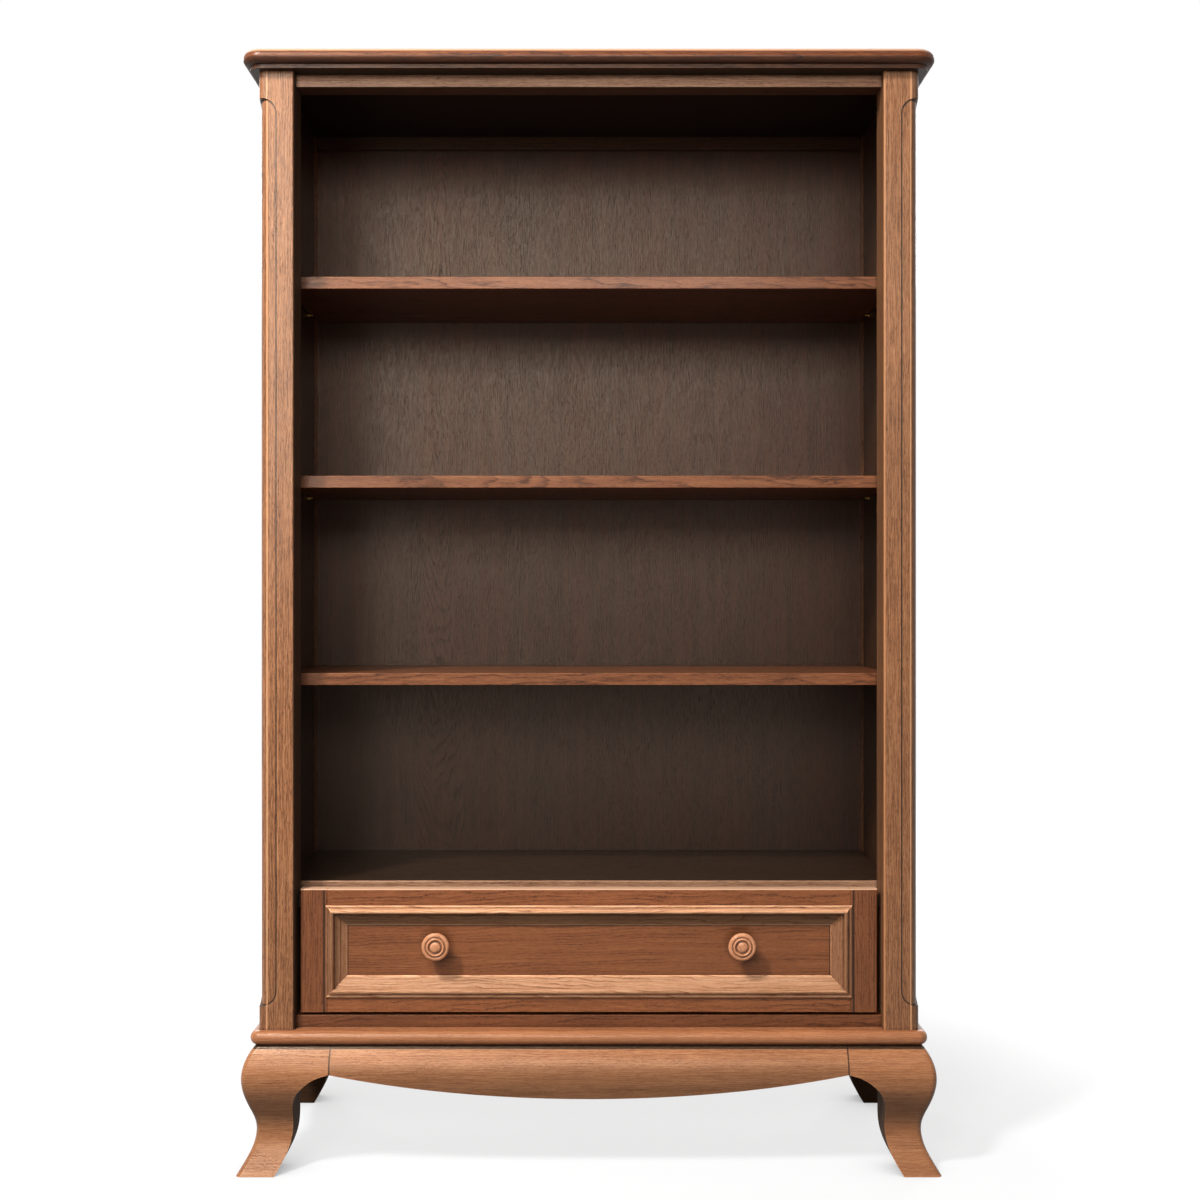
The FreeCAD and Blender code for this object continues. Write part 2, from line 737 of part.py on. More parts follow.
def build_runners():
    """The guides on the side walls and the hardwood strips that the drawer runs on."""
    guide = Board("drawer_guide_left", ("-wall_x", "-guide_x"), ("guide_y", "runner_rear_y"),
                  ("guide_foot", "guide_foot + guide_height"))
    runner = Board("drawer_runner_left", ("-guide_x", "-runner_inner_x"), ("runner_y", "runner_rear_y"),
                   ("runner_level", "runner_level + runner_height"))
    screws = []
    middle = "runner_level + runner_height / 2"
    for number, y in enumerate(runner_screw_places(), start=1):
        tip = "-runner_inner_x - runner_screw_length"
        seat = "-runner_inner_x - screw_head_height"
        guide.bore("x", f"{tip} - fit_gap", y, middle, "screw_radius + fit_gap", "runner_screw_length")
        runner.bore("x", tip, y, middle, "screw_radius + fit_gap", "runner_screw_length + overrun")
        runner.sink("x", f"{seat} - fit_gap", y, middle, "screw_radius", "screw_head_radius + fit_gap",
                    "screw_head_height + fit_gap")
        name = f"runner_screw_{number}"
        shank = rod(name + "_shank", "x", tip, y, middle, "screw_radius",
                    "runner_screw_length - screw_head_height")
        head = cone(name + "_head", "x", seat, y, middle, "screw_radius", "screw_head_radius",
                    "screw_head_height")
        screws += both_sides(fuse(name, shank, head))
    mirror(guide.keep(), "drawer_guide_right")
    mirror(runner.keep(), "drawer_runner_right")
    group("runner_screws", screws)


def foot_dowel_places():
    """Where the dowels stand between the left feet and the base moulding."""
    return [
        ("-(half_width - dowel_near_edge)", "front_y + dowel_far_edge"),
        ("-(half_width - dowel_far_edge)", "front_y + dowel_near_edge"),
        ("-(half_width - dowel_near_edge)", "back_y - dowel_near_edge"),
        ("-(half_width - dowel_near_edge)", "back_y - (dowel_near_edge + dowel_far_edge) / 2"),
    ]


def build_base():
    """The base moulding: one rounded frame, mitred at the front corners into three lengths."""
    rim = "half_width + base_overhang"
    lip = "front_y - base_overhang"
    inner = f"{rim} - base_frame_width"
    frame = Board("base_frame", (f"-({rim})", rim), (lip, "back_y"), ("foot_height", "carcass_foot"))
    frame.ease("base_corner_radius", {"x": f"-({rim})", "y": lip}, {"x": rim, "y": lip})
    ahead_of_back = (lip, "back_y - overrun")
    frame.ease(f"base_thickness * {BASE_NOSE_SHARE}", {"z": "carcass_foot", "y": ahead_of_back},
               {"z": "foot_height", "y": ahead_of_back})
    frame.cut((f"-({inner})", inner), (f"{lip} + base_frame_width", "back_y + overrun"),
              ("foot_height - overrun", "carcass_foot + overrun"))
    for x, y in foot_dowel_places():
        for place in (x, f"-({x})"):
            frame.bore("z", place, y, "foot_height - overrun", "dowel_radius + fit_gap",
                       "overrun + foot_dowel_length / 2 + fit_gap")
    mitre = doc.addObject("Part::Box", "mitre_left")
    mitre.setExpression("Length", formula("body_width"))
    mitre.setExpression("Width", formula("body_width"))
    mitre.setExpression("Height", formula("base_thickness + overrun * 2"))
    mitre.Placement.Rotation = FreeCAD.Rotation(FreeCAD.Vector(0, 0, 1), 45)
    mitre.setExpression(".Placement.Base.x", formula(f"-({rim})"))
    mitre.setExpression(".Placement.Base.y", formula(lip))
    mitre.setExpression(".Placement.Base.z", formula("foot_height - overrun"))
    left = doc.addObject("Part::Common", "base_moulding_left")
    left.Base = frame.body
    left.Tool = mitre
    node(left, "base_moulding_left")
    right = mirror(left, "base_moulding_right")
    node(cut("base_moulding_front", cut("base_less_left", frame.body, left), right),
         "base_moulding_front")
    Board("base_rear_rail", (f"-({inner})", inner), ("back_y - base_rear_rail_width", "back_y"),
          ("foot_height", "carcass_foot")).keep()


def ogee_points(across):
    """The points of the ogee from the top of the foot to the toe.

    Args:
        across: turns a distance in from the body's face and a height into a point.
    """
    height = size("foot_height")
    flare = size("toe_flare")
    return [across(-flare * out, height * up) for up, out in OGEE_SHARES]


def ear_points(across, ankle):
    """The points of a foot's inner edge from the end of the ear down to the ankle."""
    reach = size("ear_reach")
    ankle_level = size("foot_height") * ANKLE_LEVEL_SHARE
    rise = size("ear_level") - ankle_level
    return [across(ankle + reach * out, ankle_level + rise * up) for out, up in EAR_SHARES]


def foot_outline(across):
    """A foot's shaped outline: ogee outside, ear, ankle and heel inside."""
    height = size("foot_height")
    ankle = size("ankle_width")
    reach = size("ear_reach")
    heel = size("heel_inset")
    ankle_level = height * ANKLE_LEVEL_SHARE
    outer = ogee_points(across)
    inner = ear_points(across, ankle)
    inner += [across(ankle - heel * inset, ankle_level * up) for inset, up in HEEL_SHARES]
    edges = [smooth_run(outer)]
    edges += straight_runs([outer[-1], inner[-1]])
    edges.append(smooth_run(list(reversed(inner))))
    edges += straight_runs([inner[0], across(ankle + reach, height), outer[0]])
    return outline_face(edges)


def rear_foot_outline(x):
    """The rear foot seen from the side: flat behind, with an ear in front."""
    height = size("foot_height")
    back = size("back_y")

    def across(forward, z):
        return FreeCAD.Vector(x, back - forward, z)

    ankle = size("rear_ankle_depth")
    inner = ear_points(across, ankle)
    edges = straight_runs([inner[-1], across(ankle, 0), across(0, 0), across(0, height),
                           across(ankle + size("ear_reach"), height), inner[0]])
    edges.append(smooth_run(inner))
    return outline_face(edges)


def plain_box(x, y, z):
    """A box between pairs of places, as a plain shape."""
    low = point(x[0], y[0], z[0])
    high = point(x[1], y[1], z[1])
    span = high - low
    return Part.makeBox(span.x, span.y, span.z, low)


def corner_edges(shape, x, y):
    """The edges of a foot's outer corner, where its two shaped faces meet.

    They lie on the upright plane that halves the corner at x, y, outside that corner or
    just within it.
    """
    near = size("arris")
    edges = []
    for edge in shape.Edges:
        middle = edge.valueAt((edge.FirstParameter + edge.LastParameter) / 2)
        climbs = edge.BoundBox.ZLength > near
        halves = abs((x - middle.x) - (y - middle.y)) < near
        if climbs and halves and middle.x < x + near:
            edges.append(edge)
    return edges


def build_feet():
    """The four feet, each shaped on both outer faces and hollowed behind its wings."""
    left = size("-half_width")
    front = size("front_y")
    outside = size("-(half_width + toe_flare + overrun)")
    to_ear = FreeCAD.Vector(size("-ear_x") - outside, 0, 0)
    ahead = size("front_y - toe_flare - overrun")
    to_back = FreeCAD.Vector(0, size("back_y") - ahead, 0)
    face = foot_outline(lambda inward, z: FreeCAD.Vector(left + inward, ahead, z)).extrude(to_back)
    side = foot_outline(lambda inward, z: FreeCAD.Vector(outside, front + inward, z)).extrude(to_ear)
    whole = ("-overrun", "foot_height + overrun")
    front_foot = face.common(side)
    front_foot = front_foot.makeFillet(size("foot_corner_radius"), corner_edges(front_foot, left, front))
    front_foot = front_foot.cut([
        plain_box(("-ankle_x", "-ear_x + overrun"), ("wing_y", "ear_y + overrun"), whole),
        plain_box(("-wing_x", "-ankle_x"), ("front_y + ankle_width", "ear_y + overrun"), whole),
    ] + foot_dowel_holes())
    rear_foot = face.common(rear_foot_outline(outside).extrude(to_ear))
    rear_foot = rear_foot.cut([
        plain_box(("-ankle_x", "-ear_x + overrun"), ("rear_ear_y - overrun", "rear_wing_y"), whole),
        plain_box(("-wing_x", "-ankle_x"), ("rear_ear_y - overrun", "rear_ankle_y"), whole),
    ] + foot_dowel_holes())
    for label, shape in (("front_foot", front_foot), ("rear_foot", rear_foot)):
        left_foot = node(solid_feature(label + "_left", shape), label + "_left")
        mirror(left_foot, label + "_right")


def foot_dowel_holes():
    """The dowel holes in the top of the left feet."""
    radius = size("dowel_radius + fit_gap")
    depth = size("foot_dowel_length / 2 + fit_gap")
    holes = []
    for x, y in foot_dowel_places():
        mouth = point(x, y, "foot_height")
        holes.append(Part.makeCylinder(radius, depth, mouth, FreeCAD.Vector(0, 0, -1)))
    return holes


def apron_outline(span_low, span_high, drop, across):
    """An apron's face: straight ends and top, and one long arc below."""
    level = size("ear_level")
    top = size("foot_height")
    low, middle, high = span_low, (span_low + span_high) / 2, span_high
    edges = straight_runs([across(high, level), across(high, top), across(low, top), across(low, level)])
    edges.append(Part.Arc(across(low, level), across(middle, level - drop), across(high, level)).toShape())
    return outline_face(edges)


def apron_profile(across, back):
    """An apron's section: the ogee in front and a flat back."""
    ogee = ogee_points(across)
    edges = [smooth_run(ogee)]
    edges += straight_runs([ogee[-1], across(back, 0), across(back, size("foot_height")), ogee[0]])
    return outline_face(edges)


def build_aprons():
    """The aprons that join the feet, and the glue blocks behind their joints."""
    front = size("front_y")
    left = size("-half_width")
    ear = size("ear_x")
    wing = size("wing_thickness")
    depth = size("body_depth")
    profile = apron_profile(lambda u, z: FreeCAD.Vector(-ear, front + u, z), wing)
    outline = apron_outline(-ear, ear, size("apron_drop"), lambda s, z: FreeCAD.Vector(s, -depth, z))
    front_apron = profile.extrude(FreeCAD.Vector(ear * 2, 0, 0)).common(
        outline.extrude(FreeCAD.Vector(0, depth, 0)))
    node(solid_feature("front_apron", front_apron), "front_apron")
    start = size("ear_y")
    end = size("rear_ear_y")
    profile = apron_profile(lambda u, z: FreeCAD.Vector(left + u, start, z), wing)
    outline = apron_outline(start, end, size("side_apron_drop"),
                            lambda s, z: FreeCAD.Vector(left - depth, s, z))
    side_apron = profile.extrude(FreeCAD.Vector(0, end - start, 0)).common(
        outline.extrude(FreeCAD.Vector(depth * 2, 0, 0)))
    mirror(node(solid_feature("side_apron_left", side_apron), "side_apron_left"), "side_apron_right")
    Board("rear_apron", ("-ear_x", "ear_x"), ("rear_wing_y", "back_y"),
          ("ear_level", "foot_height")).keep()
    build_glue_blocks()


def build_glue_blocks():
    """Blocks glued across the joints between the feet and the aprons."""
    along_x = ("-ear_x - block_length / 2", "-ear_x + block_length / 2")
    height = ("foot_height - block_height", "foot_height")
    spans = [
        (along_x, ("wing_y", "wing_y + block_thickness")),
        (along_x, ("rear_wing_y - block_thickness", "rear_wing_y")),
    ]
    for y in ("ear_y", "rear_ear_y"):
        spans.append((("-wing_x", "-wing_x + block_thickness"),
                      (f"{y} - block_length / 2", f"{y} + block_length / 2")))
    blocks = []
    for number, (x, y) in enumerate(spans, start=1):
        blocks += both_sides(box(f"glue_block_{number}", x, y, height))
    group("glue_blocks", blocks)


def build_dowels():
    """The dowels between posts and top, and between feet and base."""
    dowels = []
    for number, (x, y) in enumerate(top_dowel_places(), start=1):
        dowels.append(rod(f"top_dowel_{number}", "z", x, y, "carcass_head - top_dowel_length / 2",
                          "dowel_radius", "top_dowel_length"))
    group("top_dowels", dowels)
    dowels = []
    for number, (x, y) in enumerate(foot_dowel_places(), start=1):
        dowels += both_sides(rod(f"foot_dowel_{number}", "z", x, y, "foot_height - foot_dowel_length / 2",
                                 "dowel_radius", "foot_dowel_length"))
    group("foot_dowels", dowels)


def front_screw_levels():
    """Heights of the screws that go through the sub-front into the stiles."""
    return [f"drawer_floor_level + (drawer_box_head - drawer_floor_level) * {share}"
            for share in FRONT_SCREW_SHARES]


def build_drawer_front():
    """The drawer front's frame and panel."""
    groove_y = ("panel_face_y", "panel_rear_y")
    stile = Board("drawer_stile_left", ("-front_half", "-stile_inner_x"),
                  ("front_face_y", "front_rear_y"), ("front_foot", "front_head"))
    stile.ease("front_edge_radius", {"y": "front_face_y", "z": "front_head"},
               {"y": "front_face_y", "x": "-front_half"})
    stile.ease("arris", {"y": "front_face_y", "x": "-stile_inner_x"})
    stile.cut(("-(stile_inner_x + panel_tongue)", "-stile_inner_x + overrun"), groove_y,
              ("front_foot - overrun", "front_head + overrun"))
    for z in front_screw_levels():
        stile.bore("y", "-(front_half - stile_width / 2)",
                   "sub_front_rear_y - front_screw_length - fit_gap", z,
                   "screw_radius + fit_gap", "front_screw_length")
    mirror(stile.keep(), "drawer_stile_right")
    inner = ("-stile_inner_x", "stile_inner_x")
    ends = [{"y": "front_face_y", "x": x} for x in inner]
    tongue = ("-(stile_inner_x + panel_tongue)", "stile_inner_x + panel_tongue")
    top = Board("drawer_rail_top", inner, ("front_face_y", "front_rear_y"), ("panel_head", "front_head"))
    top.ease("arris", *ends)
    top.ease("front_edge_radius", {"y": "front_face_y", "z": "front_head"})
    top.add(tongue, groove_y, ("panel_head + panel_tongue", "front_head - panel_tongue"))
    top.cut(inner, groove_y, ("panel_head - overrun", "panel_head + panel_tongue"))
    top.keep()
    foot = Board("drawer_rail_bottom", inner, ("front_face_y", "front_rear_y"), ("front_foot", "panel_foot"))
    foot.ease("arris", {"y": "front_face_y", "z": "front_foot"}, *ends)
    foot.add(tongue, groove_y, ("front_foot + panel_tongue", "panel_foot - panel_tongue"))
    foot.cut(inner, groove_y, ("panel_foot - panel_tongue", "panel_foot + overrun"))
    foot.keep()
    panel = Board("drawer_panel", tongue, groove_y,
                  ("panel_foot - panel_tongue", "panel_head + panel_tongue"))
    for x in ("-knob_offset", "knob_offset"):
        panel.bore("y", x, "panel_face_y - overrun", "knob_level", "knob_screw_radius + fit_gap",
                   "panel_thickness + overrun * 2")
    panel.keep()


def moulding_piece(corner, along, inward, length):
    """One mitred length of the drawer front's moulding.

    Args:
        corner: the outer corner where the length starts, on the frame's face.
        along: unit vector along the moulding.
        inward: unit vector from its outer edge to the panel.
        length: the length of its outer edge.
    """
    width = size("moulding_width")
    ridge = size("moulding_ridge_height")
    sink = size("panel_sink")
    lap = size("moulding_lap")
    out = FreeCAD.Vector(0, -1, 0)

    def at(share, height):
        return corner + inward * (width * share) + out * height

    crest = [at(share, ridge * high) for share, high in RIDGE_SHARES]
    slope = [at(share, -sink * low) for share, low in SLOPE_SHARES]
    edges = straight_runs([at(0, 0), crest[0]])
    for first in range(0, len(crest) - 1, 2):
        edges.append(Part.Arc(*crest[first:first + 3]).toShape())
    edges += straight_runs([crest[-1]] + slope)
    edges += straight_runs([slope[-1], at(lap / width, -sink), at(lap / width, 0), at(0, 0)])
    bar = outline_face(edges).extrude(along * length)
    ends = [corner, corner + along * length, corner + along * (length - width) + inward * width,
            corner + along * width + inward * width, corner]
    mitres = outline_face(straight_runs(ends)).extrude(out * ridge * 2)
    mitres = mitres.fuse(outline_face(straight_runs(ends)).extrude(-out * sink * 2)).removeSplitter()
    return bar.common(mitres)


def build_moulding():
    """The four mitred lengths round the drawer's panel."""
    x_axis = FreeCAD.Vector(1, 0, 0)
    z_axis = FreeCAD.Vector(0, 0, 1)
    wide = size("stile_inner_x + moulding_lap") * 2
    tall = size("panel_head - panel_foot + moulding_lap * 2")
    foot_left = point("-(stile_inner_x + moulding_lap)", "front_face_y", "panel_foot - moulding_lap")
    head_right = point("stile_inner_x + moulding_lap", "front_face_y", "panel_head + moulding_lap")
    pieces = {
        "drawer_moulding_bottom": moulding_piece(foot_left, x_axis, z_axis, wide),
        "drawer_moulding_left": moulding_piece(foot_left, z_axis, x_axis, tall),
        "drawer_moulding_top": moulding_piece(head_right, -x_axis, -z_axis, wide),
        "drawer_moulding_right": moulding_piece(head_right, -z_axis, -x_axis, tall),
    }
    for label, shape in pieces.items():
        node(solid_feature(label, shape), label)


def build_drawer_box():
    """The sub-front, sides, back and bottom of the drawer."""
    box_z = ("drawer_floor_level", "drawer_box_head")
    groove_z = ("drawer_bottom_level", "drawer_bottom_level + drawer_bottom_thickness")
    bottom_rim = "drawer_inner_x + drawer_bottom_tongue"
    sub_front = Board("drawer_sub_front", ("-drawer_half", "drawer_half"),
                      ("front_rear_y", "sub_front_rear_y"), box_z)
    sub_front.cut((f"-({bottom_rim})", bottom_rim),
                  ("sub_front_rear_y - drawer_bottom_tongue", "sub_front_rear_y + overrun"), groove_z)
    screws = []
    seat = "sub_front_rear_y - screw_head_height"
    tip = "sub_front_rear_y - front_screw_length"
    left_x = "-(front_half - stile_width / 2)"
    for number, z in enumerate(front_screw_levels(), start=1):
        for x in (left_x, f"-({left_x})"):
            sub_front.bore("y", x, tip, z, "screw_radius + fit_gap", "front_screw_length + overrun")
            sub_front.sink("y", x, f"{seat} - fit_gap", z, "screw_radius",
                           "screw_head_radius + fit_gap", "screw_head_height + fit_gap")
        name = f"front_screw_{number}"
        shank = rod(name + "_shank", "y", left_x, tip, z, "screw_radius",
                    "front_screw_length - screw_head_height")
        head = cone(name + "_head", "y", left_x, seat, z, "screw_radius", "screw_head_radius",
                    "screw_head_height")
        screws += both_sides(fuse(name, shank, head))
    for x in ("-knob_offset", "knob_offset"):
        sub_front.bore("y", x, "front_rear_y - overrun", "knob_level", "knob_screw_radius + fit_gap",
                       "sub_front_thickness + overrun * 2")
    sub_front.keep()
    group("drawer_front_screws", screws)
    side = Board("drawer_side_left", ("-drawer_half", "-drawer_inner_x"),
                 ("sub_front_rear_y", "drawer_rear_y"), box_z)
    side.cut(("-drawer_half - overrun", "-drawer_half + runner_groove_depth"),
             ("runner_y - runner_stop_gap", "drawer_rear_y + overrun"),
             ("runner_level - runner_gap", "runner_level + runner_height + runner_gap"))
    side.cut((f"-({bottom_rim})", "-drawer_inner_x + overrun"),
             ("sub_front_rear_y - overrun", "drawer_rear_y + overrun"), groove_z)
    side.ease("arris", {"x": "-drawer_inner_x", "z": "drawer_box_head"},
              {"x": "-drawer_half", "z": "drawer_box_head"})
    mirror(side.keep(), "drawer_side_right")
    Board("drawer_back", ("-drawer_inner_x", "drawer_inner_x"), ("drawer_back_y", "drawer_rear_y"),
          ("drawer_bottom_level + drawer_bottom_thickness", "drawer_box_head")).keep()
    Board("drawer_bottom", (f"-({bottom_rim})", bottom_rim),
          ("sub_front_rear_y - drawer_bottom_tongue", "drawer_rear_y"), groove_z).keep()


def build_knobs():
    """The turned knobs: a neck, a rounded rim, a groove, a bead, a well and a button."""
    x = "-knob_offset"
    z = "knob_level"
    core = "knob_radius - knob_rim_radius"
    rim_y = "panel_face_y - knob_rim_level"
    face_y = f"{rim_y} - knob_rim_radius"
    collar = rod("knob_collar", "y", x, "panel_face_y - knob_collar_height", z, "knob_collar_radius",
                 "knob_collar_height")
    neck = rod("knob_neck", "y", x, rim_y, z, "knob_neck_radius", "knob_rim_level")
    flare = cone("knob_flare", "y", x, rim_y, z, core, "knob_neck_radius",
                 "knob_rim_level - knob_flare_level")
    head = rod("knob_head", "y", x, face_y, z, core, "knob_rim_radius * 2")
    rim = ring("knob_rim", x, rim_y, z, core, "knob_rim_radius")
    turned = fuse("knob_turned", collar, neck, flare, head, rim)
    turned = cut("knob_grooved", turned, ring("knob_groove", x, face_y, z, "knob_groove_ring_radius",
                                              "knob_groove_radius"))
    turned = cut("knob_welled", turned, ring("knob_well", x, face_y, z, "knob_well_ring_radius",
                                             "knob_well_radius"))
    button = doc.addObject("Part::Ellipsoid", "knob_button")
    button.setExpression("Radius1", formula("knob_button_rise"))
    button.setExpression("Radius2", formula("knob_button_radius"))
    button.setExpression("Radius3", formula("knob_button_radius"))
    place_round(button, "y", x, face_y, z)
    bead = ring("knob_bead", x, face_y, z, "knob_bead_ring_radius", "knob_bead_radius")
    turned = fuse("knob_buttoned", turned, button, bead)
    tip_y = "sub_front_rear_y - knob_screw_length"
    hole = rod("knob_hole", "y", x, f"{tip_y} - fit_gap", z, "knob_screw_radius + fit_gap",
               "knob_screw_length")
    left = node(cut("knob_left", turned, hole), "knob_left")
    mirror(left, "knob_right")
    shank = rod("knob_screw_shank", "y", x, tip_y, z, "knob_screw_radius", "knob_screw_length")
    head = rod("knob_screw_head", "y", x, "sub_front_rear_y", z, "screw_head_radius", "screw_head_height")
    group("knob_screws", both_sides(fuse("knob_screw", shank, head)))


def ring(name, x, y, z, radius, thickness):
    """A ring round a knob's axis."""
    torus = doc.addObject("Part::Torus", name)
    torus.setExpression("Radius1", formula(radius))
    torus.setExpression("Radius2", formula(thickness))
    place_round(torus, "y", x, y, z)
    return torus


def check_and_write():
    """Stop at any failed object or shape, then write each piece to its own file."""
    doc.recompute()
    for feature in doc.Objects:
        for word in ("Invalid", "Error"):
            if word in feature.State:
                raise RuntimeError(f"{feature.Name} is {feature.State}")
    for feature in nodes:
        shape = feature.Shape
        if shape.isNull() or not shape.isValid() or not shape.Solids:
            raise RuntimeError(f"{feature.Label} has no valid shape")
    os.makedirs("parts", exist_ok=True)
    for feature in nodes:
        feature.Shape.exportStep(f"parts/{feature.Label}.step")
    print(len(nodes), "pieces written")


fill_sheet()
build_top()
build_top_rails()
build_front_posts()
build_rear_posts()
build_walls()
build_back()
build_shelves()
build_drawer_bay()
build_base()
build_feet()
build_aprons()
build_dowels()
build_drawer_front()
build_moulding()
build_drawer_box()
build_knobs()
check_and_write()
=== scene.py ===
import logging
import math
import random
from dataclasses import dataclass, field
from enum import Enum

import bmesh
import bpy
from mathutils import Matrix, Vector


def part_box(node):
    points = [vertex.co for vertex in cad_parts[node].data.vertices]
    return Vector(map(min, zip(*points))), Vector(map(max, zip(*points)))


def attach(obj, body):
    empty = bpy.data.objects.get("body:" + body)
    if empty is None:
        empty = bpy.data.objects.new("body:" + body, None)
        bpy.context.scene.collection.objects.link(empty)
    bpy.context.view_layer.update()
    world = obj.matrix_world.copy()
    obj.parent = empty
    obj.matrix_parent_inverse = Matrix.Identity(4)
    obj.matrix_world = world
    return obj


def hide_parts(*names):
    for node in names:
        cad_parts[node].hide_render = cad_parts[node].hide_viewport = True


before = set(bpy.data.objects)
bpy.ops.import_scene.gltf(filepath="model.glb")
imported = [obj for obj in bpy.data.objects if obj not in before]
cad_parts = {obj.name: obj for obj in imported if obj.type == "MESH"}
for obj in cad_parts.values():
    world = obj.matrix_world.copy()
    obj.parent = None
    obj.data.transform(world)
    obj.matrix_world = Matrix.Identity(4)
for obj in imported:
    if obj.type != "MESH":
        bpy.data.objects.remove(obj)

log = logging.getLogger("bookcase")

Colour = tuple[int, int, int]
Point = tuple[float, float, float]
Range = tuple[float, float]
Loop = list[bmesh.types.BMVert]
Socket = bpy.types.NodeSocket
MM = 0.001
SIDES = ("left", "right")


class Grain(Enum):
    """The way that a board's fibres run."""

    ACROSS = "x"
    DEPTH = "y"
    UPRIGHT = "z"


class Cut(Enum):
    """How a board was sawn from the log, which gives its figure."""

    PLAIN = "wide arches"
    RIFT = "slanting lines"
    QUARTER = "close straight lines"


# Across, away from the face and along the fibres, as numbers of the row's axes.
AXES = {Grain.ACROSS: (2, 1, 0), Grain.DEPTH: (0, 2, 1), Grain.UPRIGHT: (0, 1, 2)}
# How far the pith lies from the board's middle, and at what angle from the face.
PITHS = {
    Cut.PLAIN: ((0.035, 0.06), (-0.4, 0.4)),
    Cut.RIFT: ((0.10, 0.14), (0.7, 0.95)),
    Cut.QUARTER: ((0.14, 0.20), (1.45, 1.65)),
}
PITH_DRIFT = (0.015, 0.035)
# How dark the wood of one year is, from its start to its end.
SEASON = ((0.0, 0.35), (0.05, 1.0), (0.24, 0.45), (0.50, 0.10), (0.88, 0.0), (1.0, 0.35))
# The furthest that a noise is moved by a board's draws.
RING_SHIFT = 50
FIBRE_SHIFT = 90
CLOUD_SHIFT = 9
FADING_SHIFT = 7
# The ends of the part of a noise, or of an occlusion, that is stretched to a whole mask.
FADING_SPAN = (0.30, 0.62)
FLECK_SPAN = (0.33, 0.67)
CLOUD_SPAN = (0.25, 0.75)
WARM_SPAN = (0.35, 0.65)
BAND_SPAN = (0.3, 0.7)
JOINT_SPAN = (0.485, 0.497)
# Occlusion spans for the painted shade in corners and for edges lightened as if by use and as a painted
# highlight.
PAINTED_SHADE_SPAN = (0.35, 0.95)
WEAR_AND_HIGHLIGHT_SPAN = (0.45, 0.90)
# How many rays an occlusion or a rounded edge takes.
FINE_SAMPLES = 4
FLOOR_SAMPLES = 8
BUMP_STRENGTH = 0.5
# The angle from which an edge of a screw is shown sharp.
SHARP_ANGLE = math.radians(40)


def linear(colour: Colour) -> tuple[float, float, float, float]:
    """Turn a display colour into the linear colour that a shader takes.

    Args:
        colour: red, green and blue from 0 to 255.

    Returns:
        The linear colour with an alpha of 1.
    """
    shares = (value / 255 for value in colour)
    parts = (share / 12.92 if share <= 0.04045 else ((share + 0.055) / 1.055) ** 2.4 for share in shares)
    return (*parts, 1.0)


